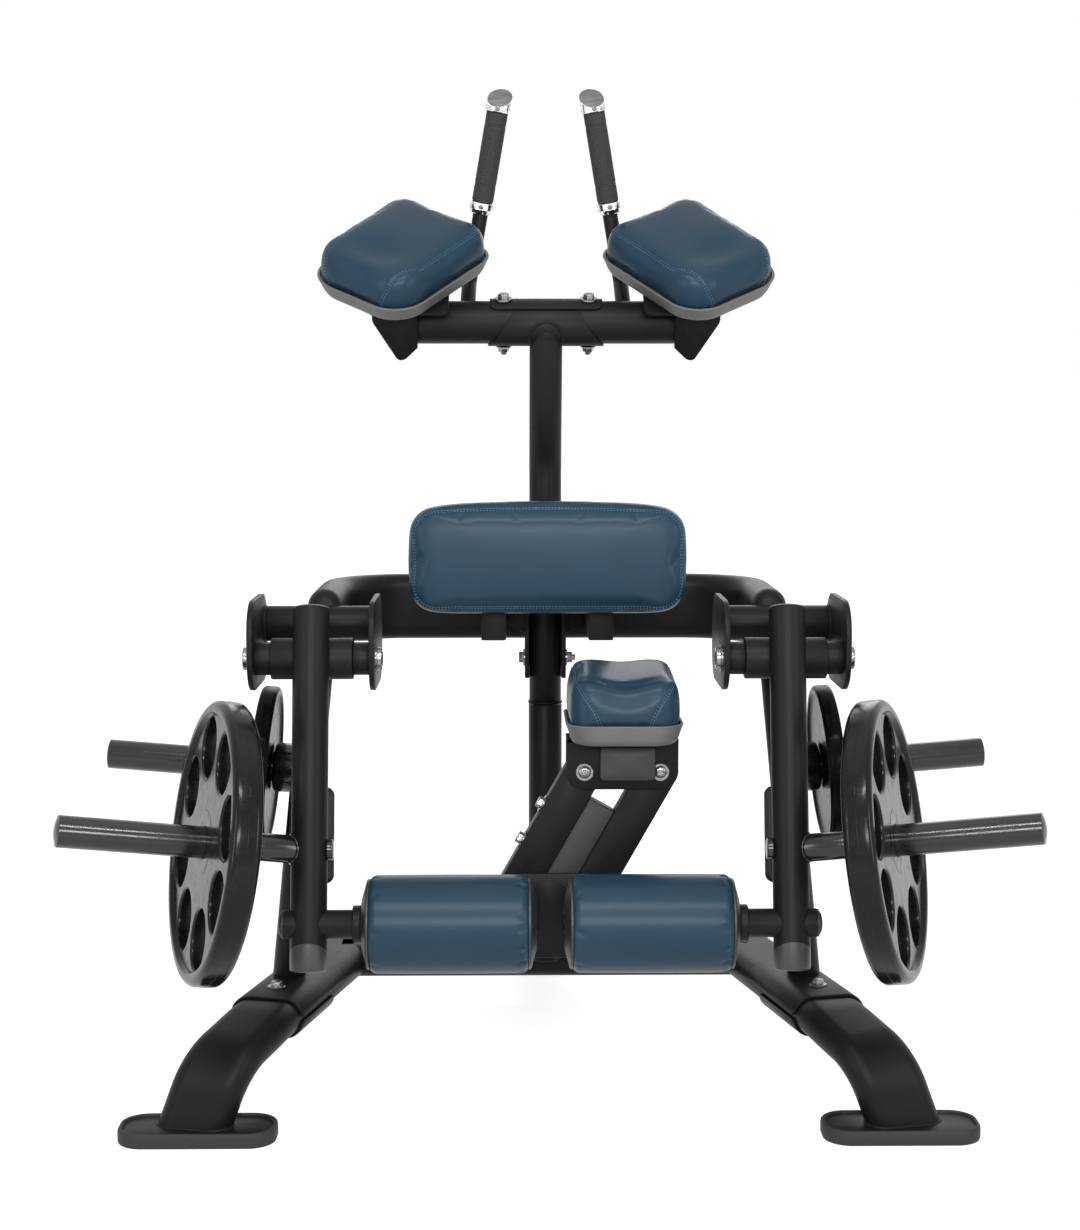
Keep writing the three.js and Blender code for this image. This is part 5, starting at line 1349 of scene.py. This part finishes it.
class MACHINE_OT_upper_frame(bpy.types.Operator):
    """Build the hoop, the uprights with their stops, the pivot brackets and the storage horns"""

    bl_idname = "machine.upper_frame"
    bl_label = "Hoop and uprights"

    def execute(self, context):
        line = [(381, 150, 816), (381, 480, 816), (-381, 480, 816), (-381, 150, 816)]
        put("hoop_tube", [tube(line, flat_oval(), UP, (130, 130), 30.0)], "hoop")
        bumper_face = lever_at(505) + LEVER_BACK * 29.8
        plate_face = bumper_face + LEVER_BACK * 12.3
        lean = np.column_stack([OUT, np.cross(LEVER_BACK, OUT), LEVER_BACK])
        stop = slab(box_outline(72, 156, 14), 8.0, plate_face, lean, 1.2)
        arm_start = plate_face + LEVER_BACK * 4
        arm_end = upright_at(arm_start[2])
        arm = cut(rod(24, arm_start - LEVER_BACK * 8, arm_end), -LEVER_BACK, arm_start, arm_end - arm_start)
        pole = rod(28.5, upright_at(171), upright_at(786))
        t = np.arange(48) * TURN / 48
        ring = upright_at(0) + np.outer(np.cos(t), OUT) * 28.5 + np.outer(np.sin(t), SIDE) * 28.5
        rise = upright_at(1) - upright_at(0)
        welds = [bead(ring + rise * height) for height in (186, 757)]
        put_pair("upright_tube", [pole, arm, stop, *welds], "upright")
        pad = slab(box_outline(64, 148, 14), 11.9, bumper_face, lean, 3.0)
        put_pair("stop_rubber", [pad], "stop_bumper", **RUBBER)
        boss = [(0, 0), (43, 0), (43, 35), (42, 38.5), (38.5, 41.4), (36, 42), (0, 42)]
        shapes = [turned(boss, STORAGE_ROOT, STORAGE), horn_bar(STORAGE_ROOT, STORAGE, 30, 330.1)]
        put_pair("storage_horn_bar", shapes, "storage_horn", finish="horns")
        plates = []
        for x in (284, 481):
            plates.append(slab(box_outline(230, 148, 56), 9.0, v3(x, 67, 798), SIDEWAYS, 1.6))
        cross = rod(30, (288, 150, 819), (486, 150, 819))
        ring = np.column_stack([np.zeros(64), circle(30, 64)])
        beads = [bead(ring + v3(x, 150, 819)) for x in (293.5, 480.5)]
        put_pair("bracket_plates", [*plates, cross, *beads], "pivot_bracket")
        spacers = [rod(27, (a, 0, 777), (b, 0, 777)) for a, b in ((293.2, 320), (454.9, 480.8))]
        put_pair("pivot_spacers", spacers, "pivot_shaft")
        ends = [(v3(284, 0, 777), -OUT), (v3(490, 0, 777), OUT)]
        heads = [self.pivot_head(*end) for end in ends]
        put_pair("pivot_heads", heads, "pivot_shaft", finish="zinc", slot="bright_zinc")
        put_pair("pivot_bolts", [self.pivot_core(*end) for end in ends], "pivot_shaft")
        self.clamp()
        return {"FINISHED"}

    def pivot_head(self, at, way):
        """A flanged ring: flat washer with a raised collar."""
        profile = [(0, 0), (21.5, 0), (21.5, 2.6), (20.6, 3.4), (18.8, 3.6)]
        profile += [(18.6, 9.4), (17.4, 10.6), (12.6, 10.6), (12.0, 9.0), (0, 9.0)]
        return turned(profile, at, way)

    def pivot_core(self, at, way):
        """The dark bolt end in the middle of the ring."""
        profile = [(0, 6), (11.4, 6), (11.4, 10.4), (10.4, 11.4), (6.5, 11.6), (5.6, 9), (0, 9)]
        return turned(profile, at, way)

    def clamp(self):
        """The clamp that holds the hoop to the post: two cheeks, a web and two wings."""
        cheek = round_profile([(449.7, 692), (449.7, 858), (376, 858), (376, 692)], [16] * 4, 7)
        shapes = [slab(cheek, 8.0, v3(x, 0, 0), SIDEWAYS, 1.2) for x in (29.3, -37.3)]
        wing = [(-69, 784), (-37.3, 768), (37.3, 768), (69, 784), (69, 842), (-69, 842)]
        shapes.append(slab(round_profile(wing, [8] * 6, 5), 8.0, v3(0, 449.7, 0), FACING, 1.2))
        web = round_profile([(-37.3, 708), (37.3, 708), (37.3, 842), (-37.3, 842)], [2] * 4, 3)
        shapes.append(slab(web, 8.0, v3(0, 449.7, 0), FACING, 1.0))
        put("hoop_clamp_plates", shapes, "hoop_clamp")


class MACHINE_OT_levers(bpy.types.Operator):
    """Build the levers with their end caps, horns, axles and roller discs"""

    bl_idname = "machine.levers"
    bl_label = "Levers"

    def execute(self, context):
        low_edge, back_edge = lever_at(338) - LEVER_BACK * 29.5, lever_at(309) + LEVER_BACK * 29.5
        slope = unit(back_edge - low_edge)
        normal = np.cross(OUT, slope)
        normal = normal if normal[2] > 0 else -normal
        middle = (low_edge + back_edge) / 2
        start, top = lever_at(249), lever_at(862)
        long = (top - start) @ LEVER_UP
        dome = [(29.5 * np.sin(t), long + 7 * np.cos(t)) for t in np.linspace(np.pi / 2, 0, 12)]
        pole = turned([(0, 0), (29.5, 0), (29.5, long - 2), *dome], start, LEVER_UP, 72)
        pole = cut(pole, -normal, middle, LEVER_UP)
        house = [(0, 0), (31.5, 0), (33.4, 0.6), (34, 2)]
        house += [(34, 132.3), (33.4, 133.7), (31.5, 134.3), (0, 134.3)]
        t = np.arange(96) * TURN / 96
        ring = lever_at(700) + np.outer(np.cos(t), OUT) * 29.5 + np.outer(np.sin(t), LEVER_BACK) * 29.5
        joint = meeting(ring, LEVER_UP, (0, 0, 777), OUT, 34)
        back = joint[:, 1] > -29
        first_front = int(np.argmax(~back))
        joint, back = np.roll(joint, -first_front, axis=0), np.roll(back, -first_front)
        shapes = [pole, turned(house, v3(320.3, 0, 777), OUT), bead(joint[back], closed=False)]
        put_pair("lever_tube", shapes, "lever", body="lever")
        profile = [(0, 0), (23, 0), (26.5, 0.9), (28.6, 2.8), (29.5, 6), (29.5, 60), (0, 60)]
        plug = cut(turned(profile, lever_at(293), LEVER_UP, 72), normal, middle - normal * 0.3, LEVER_UP)
        put_pair("lever_end_plug", [plug], "lever_cap", body="lever", finish="cap", slot="grey_plastic")
        stub = rod(22.5, HORN_ROOT + HORN * 1, HORN_ROOT + HORN * 104)
        collar = turned([(0, 96), (24.6, 96), (25.3, 97), (25.3, 102), (0, 102)], HORN_ROOT, HORN)
        bar = horn_bar(HORN_ROOT, HORN, 100, 388)
        t = np.arange(64) * TURN / 64
        basis = axes(HORN, UP)
        ring = HORN_ROOT + np.outer(np.cos(t), basis[:, 0]) * 22.5 + np.outer(np.sin(t), basis[:, 1]) * 22.5
        weld = bead(meeting(ring, HORN, lever_at(482), LEVER_UP, 29.5, first=False))
        head = turned([(0, 0), (14, 0), (16.4, 1), (17, 3), (17, 9.2), (0, 9.2)], v3(347.2, -110, 482), OUT)
        shapes = [stub, collar, bar, weld, head]
        put_pair("lever_horn_bar", shapes, "lever_horn", body="lever", finish="horns")
        self.axle()
        return {"FINISHED"}

    def axle(self):
        """The roller's axle: inner washer, pin, collar, sleeve through the lever and domed outer cap."""
        profile = [(0, 19.5), (12, 19.5), (14, 20.6), (14, 23), (12.5, 24), (12.5, 301), (28.5, 301.4)]
        profile += [(30, 303), (30, 313.2), (28.6, 315), (23.6, 315), (23, 317), (23, 424.6)]
        profile += [(22, 426), (19, 426), (0, 426)]
        outer = [(0, 425), (22.4, 425), (22.4, 427.6), (21.4, 429), (18.6, 429.4)]
        outer += [(18.6 * np.cos(t), 429.4 + 5.6 * np.sin(t)) for t in np.linspace(0.1, np.pi / 2, 8)]
        put_pair("roller_axle_bar", [turned(profile, AXLE, OUT)], "roller_axle", body="lever")
        put_pair("roller_axle_cap", [turned(outer, AXLE, OUT)], "roller_axle", body="lever", finish="disc")
        for side, sign in SIDES:
            shapes = []
            for face, way in ((34.0, -1.0), (289.0, 1.0)):
                rim = [(0, -2), (70.0, -2), (71.6, -1), (72, 0.8), (71.4, 2.6), (69.6, 3.8)]
                rim += [(66, 4.6), (61, 5.9), (52, 8.6), (44, 10.8), (38, 11.9)]
                rim += [(30, 12.4), (21, 12.4), (20, 11.2), (0, 11.2)]
                shapes.append(turned(rim, v3(face, AXLE[1], AXLE[2]), OUT * way, 96))
            shapes = shapes if sign > 0 else [mirrored(s) for s in shapes]
            core, body = f"roller_core_{side}", f"roller_{side}"
            put(f"roller_discs_{side}", shapes, core, body=body, finish="disc", slot="grey_plastic")


class MACHINE_OT_post(bpy.types.Operator):
    """Build the post, the crossbar with its saddles, the pad supports and the thigh pad's frame"""

    bl_idname = "machine.post"
    bl_label = "Post and crossbar"

    def execute(self, context):
        lower = tube([(0, 420, 170), (0, 420, 646)], flat_oval(), SIDE, (), 3.0)
        oval = flat_oval()
        foot = v3(0, 420, 186) + oval[:, :1] * OUT + oval[:, 1:] * SIDE
        put("post_lower_tube", [lower, bead(foot)], "post_lower")
        bend_at = v3(0, 410, 1088)
        top = BAR - POST_BACK * 14 - POST_UP * 15
        lean = unit(top - bend_at)
        upper = tube([(0, 410, 640), bend_at, top], circle(29), OUT, (160,), 0.5)
        t = np.linspace(0, np.pi / 2, 12)
        crown = turned([(0, -4), (29, -4), *zip(29 * np.cos(t), 29 * np.sin(t))], top, lean)
        t = np.linspace(-0.35, np.pi + 0.35, 60)
        line = top + np.outer(np.cos(t), OUT) * 29 + np.outer(np.sin(t), POST_UP) * 29
        height = (line - BAR) @ POST_UP
        front = -np.sqrt(np.clip(42.4**2 - height**2, 0, None))
        line += (front - (line - BAR) @ POST_BACK)[:, None] * POST_BACK
        arch = bead(line, 2.4, 5.0, False)
        low = bead(v3(0, 410, 646.5) + np.column_stack([circle(29, 72), np.zeros(72)]))
        angle = np.linspace(np.radians(46), np.radians(314), 60)
        height = 41.8 * np.cos(angle)
        half = 103 - (height + 41.8) * 45 / (41.8 + 29.04)
        saddle = self.saddle(angle, half)
        put("post_upper_tube", [upper, crown, arch, low, saddle], "post_upper")
        angle = np.linspace(-np.radians(38), np.radians(38), 31)
        edge = np.clip((abs(angle) - np.radians(21.5)) * 41.8 / 12, 0, 1)
        half = 99 - 12 * (1 - np.sqrt(np.clip(1 - edge**2, 0, 1)))
        put("saddle_cap_plate", [self.saddle(angle, half)], "saddle_cap")
        self.bar()
        self.thigh_frame()
        return {"FINISHED"}

    def saddle(self, angle, half):
        """A 4 mm strip bent round the crossbar, as long as half either way at each angle."""
        lift = np.outer(np.cos(angle), POST_UP) + np.outer(np.sin(angle), POST_BACK)
        return ribbon(BAR + lift * 37.7, lift, OUT, half, 4.1, 1.0)

    def bar(self):
        """The crossbar and, on each side, the plate, gusset and cheek that carry an elbow pad."""
        up = v3(*ELBOW_UP)
        back = v3(*ELBOW_BACK)
        frame_basis = np.column_stack([OUT, up, -back])
        tray_low = v3(255, 300, 1473.6) - up * (56 + 0.3 - 9 + 32)
        top = (tray_low - up * 0.3 - BAR) @ up
        plate_basis = np.column_stack([OUT, back, up])
        at = BAR + up * (top - 6)
        support = slab(box_outline(140, 116, 12) + [240, 0], 6.0, v3(0, at[1], at[2]), plate_basis, 1.2)
        high = top - 3
        tip = [(226, high), (226, -27), (250, -53), (262, -53), (304, high - 26), (304, high)]
        tip = round_profile(tip, [1, 1, 7, 6, 6, 1], 7)
        gusset = slab(tip, 8.0, BAR - back * 33.5, frame_basis, 0.8, (256, -20))
        line = round_profile([(170, high), (194, -8), (226, -8), (300, high)], [1, 6, 6, 1], 7)
        cheek = slab(line, 8.0, BAR + back * 37.5, frame_basis, 1.2, (230, high - 12))
        line = BAR + v3(235.5, 0, 0) - back * 36 + np.outer(np.linspace(-22, 20, 20), up)
        weld = bead(line, 2.2, 5.0, False)
        shapes = [rod(37.5, BAR - OUT * 238, BAR + OUT * 238, 1.2, 64)]
        for shape in (support, gusset, cheek, weld):
            shapes += [shape, mirrored(shape)]
        put("crossbar_tube", shapes, "crossbar")

    def thigh_frame(self):
        """The plate behind the thigh pad and the two arms that hold it on the hoop."""
        lying = np.column_stack([OUT, -UP, SIDE])
        plate = slab(box_outline(340, 124, 32), 6.0, v3(0, 180.4, 931), lying, 1.2)
        line = [(183.3, 785), (449.7, 785), (449.7, 865), (253.3, 865), (189.3, 935), (183.3, 935)]
        line = round_profile(line, [2, 2, 2, 30, 6, 2], 7)
        arm = slab(line, 43.0, v3(71, 0, 0), SIDEWAYS, 3.0, (250, 830))
        put("thigh_frame_plates", [plate, arm, mirrored(arm)], "thigh_frame")


class MACHINE_OT_linkage(bpy.types.Operator):
    """Build the knee pad's two links, their base, their carriage, the stop block and the spine"""

    bl_idname = "machine.linkage"
    bl_label = "Knee linkage"

    def execute(self, context):
        for name, x in (("link_left", -66.4), ("link_right", 59.0)):
            low, high = np.array([x, 365.0]), np.array([x + 125.4, 586.0])
            turn = np.arctan2(*(high - low)[::-1]) - np.pi / 2
            t = np.linspace(0, np.pi, 19)
            arc = 31 * np.column_stack([np.cos(turn + t), np.sin(turn + t)])
            shape = slab(np.vstack([high + arc, low - arc]), 44.0, v3(0, 62, 0), FACING, 3.0)
            put(f"{name}_bar", [shape], name, body=name)
        lean = unit(LINK)
        across = v3(lean[2], 0, -lean[0])
        wide = LINK[0] * lean[2] - 62
        at = v3(-66.4, 40, 365) + lean * (lean @ LINK) * 0.52 + across * 31.3
        leaning = np.column_stack([lean, np.cross(across, lean), across])
        block = slab(box_outline(172, 34, 4), wide - 0.6, at, leaning, 2.0)
        put("stop_block_rubber", [block], "stop_block", body="link_left", finish="block", slot="dark_rubber")
        low, high, left, right = 556.5, 642.0, 29.0, 214.4
        line = round_profile([(right, high), (left, high), (left, low), (right, low)], [3, 3, 30, 30], 11)
        plates = [slab(line, 8.0, v3(0, y, 0), FACING, 1.2) for y in (17.7, 70.3)]
        lid = slab(box_outline(185.4, 60.6, 2), 8.0, v3(121.7, 40, 634), np.eye(3), 1.0)
        pins = [rod(12, (x, 10, 586), (x, 70, 586)) for x in (59.0, 184.4)]
        put("carriage_plates", [*plates, lid, *pins], "carriage", body="carriage")
        cover = slab(box_outline(92, 57, 8), 20.0, v3(129.7, 9.7, 602.5), FACING, 4.0)
        put("carriage_cover", [cover], "carriage", body="carriage", finish="block")
        t = np.linspace(0, 1, 17)
        corners = ((-66.4, 365, 0.6, 0.4), (-66.4, 305, 1.0, 0.5), (59, 305, 1.5, 0.5), (59, 365, 0.0, 0.4))
        line = [[(68, 415), (-48, 415)]]
        for x, z, start, share in corners:
            turn = np.pi * (start + share * t)
            line.append(np.column_stack([x + 33 * np.cos(turn), z + 33 * np.sin(turn)]))
        line = np.vstack(line)
        plates = [slab(line, 8.0, v3(0, y, 0), FACING, 1.2, (-4, 345)) for y in (17.7, 70.3)]
        web = slab(box_outline(125.4, 60, 2), 8.0, v3(-3.7, 40, 272), np.eye(3), 1.0)
        pins = [rod(12, (x, 10, 365), (x, 70, 365)) for x in (-66.4, 59.0)]
        oval = slab(flat_oval(3), 0.8, v3(0, 9.8, 340), FACING, 0.7)
        put("linkage_base_plates", [*plates, web, *pins, oval], "linkage_base")
        put("spine_tube", [tube([(0, 70.6, 340), (0, 400, 340)], flat_oval(), UP)], "spine")
        return {"FINISHED"}


# Finishes


class MACHINE_OT_finishes(bpy.types.Operator):
    """Give each piece of the frame its finish"""

    bl_idname = "machine.finishes"
    bl_label = "Finishes"

    def execute(self, context):
        by_slot = {
            "satin_black_steel": "steel",
            "gloss_black_iron": "plates",
            "grey_plastic": "trays",
            "dark_rubber": "rubber",
            "blue_vinyl": "vinyl",
            "bright_chrome": "chrome",
            "bright_zinc": "zinc",
        }
        for part in frame["record"]["subparts"]:
            piece = bpy.data.objects[part["node"]]
            is_disc = part["node"].startswith("roller_core_")
            finish = material("disc" if is_disc else by_slot[part["material_slot"]])
            piece.data.materials.clear()
            piece.data.materials.append(finish)
            for slot in piece.material_slots:
                slot.material = finish
        return {"FINISHED"}


DISC_COLOUR = (0.02, 0.0205, 0.022)
GRIP_COLOUR = (0.021, 0.021, 0.022)
CAP_COLOUR = (0.03, 0.0295, 0.029)
BLOCK_COLOUR = (0.027, 0.027, 0.028)
BRUSHED_COLOUR = (0.2, 0.2, 0.203)
THREAD_PALER = 4.5


def make_materials():
    """Fills the table of finishes from the colours that the user chose."""
    chosen = colours()
    steel, plates, upholstery = tuple(chosen.steel), tuple(chosen.plates), tuple(chosen.vinyl)
    thread = tuple(v * THREAD_PALER for v in upholstery)
    trays, rubber = tuple(chosen.trays), tuple(chosen.rubber)
    zinc, chrome = tuple(chosen.zinc), tuple(chosen.chrome)
    MATERIALS.update(
        steel=powder_coat("satin_black_steel", steel, low=0.36, high=0.5),
        plates=glossy_coat("gloss_black_coating", plates, gloss=0.13, coat=0.1),
        horns=glossy_coat("satin_horn_coating", steel, gloss=0.35, coat=0.25),
        storage=glossy_coat("storage_plate_coating", plates, gloss=0.02, coat=0.02),
        vinyl=vinyl("blue_vinyl", upholstery),
        brushed=metal("brushed_steel", BRUSHED_COLOUR, low=0.3, high=0.42, brush=(1.0, 1.0, 6.0)),
        zinc=metal("bright_zinc", zinc, low=0.2, high=0.36, brush=(1.0, 1.0, 6.0)),
        chrome=metal("polished_chrome", chrome, low=0.05, high=0.12, brush=(1.0, 1.0, 8.0)),
    )
    for key, name, colour, rough, grain_scale, depth in (
        ("trays", "grey_tray_plastic", trays, 0.52, 700.0, 0.00006),
        ("disc", "dark_disc_plastic", DISC_COLOUR, 0.42, 700.0, 0.00005),
        ("rubber", "dark_rubber", rubber, 0.72, 420.0, 0.0001),
        ("grip", "grip_rubber", GRIP_COLOUR, 0.78, 330.0, 0.0005),
        ("thread", "sewing_thread", thread, 0.6, 900.0, 0.00005),
        ("cap", "grey_end_cap", CAP_COLOUR, 0.4, 700.0, 0.00005),
        ("block", "grey_block_plastic", BLOCK_COLOUR, 0.55, 500.0, 0.00006),
    ):
        MATERIALS[key] = moulded(name, colour, rough, grain_scale, depth)


# Studio

CAMERA_RAY, GLOSSY_RAY, TRANSMISSION_RAY = 0, 3, 6  # outputs of the light path node
FLOOR_HALF, FLOOR_HEIGHT, FLOOR_GREY = 30.0, -0.0005, 0.86
FLOOR_GLOW, FLOOR_GLOW_FAR, FLOOR_SEEN = 1.9, 0.45, 0.45
WORLD_LIGHT = 0.2
CAMERA_PLACE = (-62, -3500, 1210)
CAMERA_DOWN, CAMERA_RIGHT = np.radians(5.9), np.radians(0.77)
CAMERA_LENS, CAMERA_FILM, CAMERA_REACH = 71.667, 36.0, 60.0


def looked_at(tree):
    """1 for rays from the camera, off a mirror or through glass, and 0 for the light itself."""
    seen, mirror, through = (
        node(tree, "ShaderNodeLightPath", output=ray) for ray in (CAMERA_RAY, GLOSSY_RAY, TRANSMISSION_RAY)
    )
    return (seen + mirror + through).clamp()


class MACHINE_OT_studio(bpy.types.Operator):
    """Set up the floor, the lamps, the world and the camera of the photograph"""

    bl_idname = "machine.studio"
    bl_label = "Studio"

    def execute(self, context):
        scene = context.scene
        scene.view_settings.view_transform = "Standard"
        self.floor()
        self.world(scene)
        self.lamps()
        self.camera(scene)
        return {"FINISHED"}

    def floor(self):
        """A pale floor that the camera sees as white: glow + far x clamp((distance - 1.6) x 0.4)."""
        h = FLOOR_HALF
        grid = np.full((2, 2, 3), FLOOR_HEIGHT)
        grid[..., :2] = [[[-h, -h], [-h, h]], [[h, -h], [h, h]]]
        mesh = bpy.data.meshes.new("studio_floor")
        points, faces = surface(grid)
        mesh.from_pydata(points.tolist(), [], faces[:, ::-1].tolist())
        floor = bpy.data.objects.new("studio_floor", mesh)
        bpy.context.scene.collection.objects.link(floor)
        floor_paint = bpy.data.materials.new("studio_floor_paint")
        floor_paint.use_nodes = True
        tree = floor_paint.node_tree
        tree.nodes.clear()
        matt = node(tree, "ShaderNodeBsdfDiffuse", values={"Color": (FLOOR_GREY, FLOOR_GREY, FLOOR_GREY, 1)})
        place = node(tree, "ShaderNodeNewGeometry")
        away = node(tree, "ShaderNodeVectorMath", {"operation": "LENGTH"}, [place], output=1)
        strength = ((away - 1.6) * 0.4).clamp() * FLOOR_GLOW_FAR + FLOOR_GLOW
        white = node(tree, "ShaderNodeEmission", values={"Color": (1, 1, 1, 1), "Strength": strength})
        mixed = node(tree, "ShaderNodeMixShader", values=[looked_at(tree) * FLOOR_SEEN, matt, white])
        target = tree.nodes.new("ShaderNodeOutputMaterial")
        tree.links.new(mixed.socket, target.inputs["Surface"])
        mesh.materials.append(floor_paint)

    def world(self, scene):
        """White where the camera or a mirror looks, a plain soft level for the light."""
        world = bpy.data.worlds.new("studio_world")
        scene.world = world
        world.use_nodes = True
        tree = world.node_tree
        tree.nodes.clear()
        light, white = (
            node(tree, "ShaderNodeBackground", values={"Color": (1, 1, 1, 1), "Strength": strength})
            for strength in (WORLD_LIGHT, 1.0)
        )
        mixed = node(tree, "ShaderNodeMixShader", values=[looked_at(tree), light, white])
        target = tree.nodes.new("ShaderNodeOutputWorld")
        tree.links.new(mixed.socket, target.inputs["Surface"])

    def lamps(self):
        """Six soft lamps: low and high in front, one overhead, one on each side in front, one behind."""
        plans = (  # name, place, aimed at, width, height, watts
            ("lamp_front", (0.1, -4.7, 1.9), (0, 0, 0.6), 2.8, 0.6, 120.0),
            ("lamp_high", (0.0, -3.1, 4.0), (0, 0, 0.7), 2.6, 0.24, 100.0),
            ("lamp_top", (0.0, -0.4, 4.2), (0, 0, 0.8), 3.2, 2.4, 12.0),
            ("lamp_left", (-3.4, -3.2, 1.6), (0, 0, 0.8), 0.9, 2.2, 38.0),
            ("lamp_right", (3.4, -3.0, 1.7), (0, 0, 0.8), 0.9, 2.2, 42.0),
            ("lamp_back", (0.6, 3.6, 2.4), (0, 0, 1.0), 3.0, 1.6, 30.0),
        )
        for name, place, target, width, height, power in plans:
            lamp = bpy.data.lights.new(name, "AREA")
            lamp.shape, lamp.size, lamp.size_y, lamp.energy = "RECTANGLE", width, height, power
            holder = bpy.data.objects.new(name, lamp)
            holder.location = place
            aim = Vector(target) - Vector(place)
            holder.rotation_euler = aim.to_track_quat("-Z", "Y").to_euler()
            bpy.context.scene.collection.objects.link(holder)

    def camera(self, scene):
        """The photograph's camera: 5.9 degrees down, 0.77 degrees to the right, from the user's side."""
        lens = bpy.data.cameras.new("photo_camera")
        lens.sensor_fit, lens.sensor_width, lens.lens = "HORIZONTAL", CAMERA_FILM, CAMERA_LENS
        lens.clip_end = CAMERA_REACH
        holder = bpy.data.objects.new("photo_camera", lens)
        level = np.cos(CAMERA_DOWN)
        ahead = (np.sin(CAMERA_RIGHT) * level, np.cos(CAMERA_RIGHT) * level, -np.sin(CAMERA_DOWN))
        turn = Vector(ahead).to_track_quat("-Z", "Y").to_matrix().to_4x4()
        holder.matrix_world = Matrix.Translation(Vector(spot(*CAMERA_PLACE))) @ turn
        scene.collection.objects.link(holder)
        scene.camera = holder


class MACHINE_PT_panel(bpy.types.Panel):
    """Lists the machine's colours, sizes and pieces"""

    bl_idname = "MACHINE_PT_panel"
    bl_label = "Kneeling Hamstring Machine"
    bl_space_type = "VIEW_3D"
    bl_region_type = "UI"
    bl_category = "Machine"

    def draw(self, context):
        layout = self.layout
        for group in (context.scene.machine_colours, context.scene.machine_sizes):
            for key in type(group).__annotations__:
                layout.prop(group, key)
        for operator in OPERATORS:
            layout.operator(operator.bl_idname)


OPERATORS = (
    MACHINE_OT_finishes,
    MACHINE_OT_base,
    MACHINE_OT_upper_frame,
    MACHINE_OT_levers,
    MACHINE_OT_post,
    MACHINE_OT_linkage,
    MACHINE_OT_pads,
    MACHINE_OT_trays,
    MACHINE_OT_plates,
    MACHINE_OT_grips,
    MACHINE_OT_bolts,
    MACHINE_OT_studio,
)
CLASSES = (MachineColours, MachineSizes, *OPERATORS, MACHINE_PT_panel)


def register():
    """Adds the classes and the settings to Blender."""
    for cls in CLASSES:
        bpy.utils.register_class(cls)
    bpy.types.Scene.machine_colours = PointerProperty(type=MachineColours)
    bpy.types.Scene.machine_sizes = PointerProperty(type=MachineSizes)


def unregister():
    """Takes the settings and the classes out of Blender again."""
    del bpy.types.Scene.machine_sizes
    del bpy.types.Scene.machine_colours
    for cls in reversed(CLASSES):
        bpy.utils.unregister_class(cls)


def main():
    """Builds every group in order."""
    register()
    make_materials()
    bpy.ops.machine.finishes()
    bpy.ops.machine.base()
    bpy.ops.machine.upper_frame()
    bpy.ops.machine.levers()
    bpy.ops.machine.post()
    bpy.ops.machine.linkage()
    bpy.ops.machine.pads()
    bpy.ops.machine.trays()
    bpy.ops.machine.plates()
    bpy.ops.machine.grips()
    bpy.ops.machine.bolts()
    bpy.ops.machine.studio()


if __name__ == "__main__":
    main()
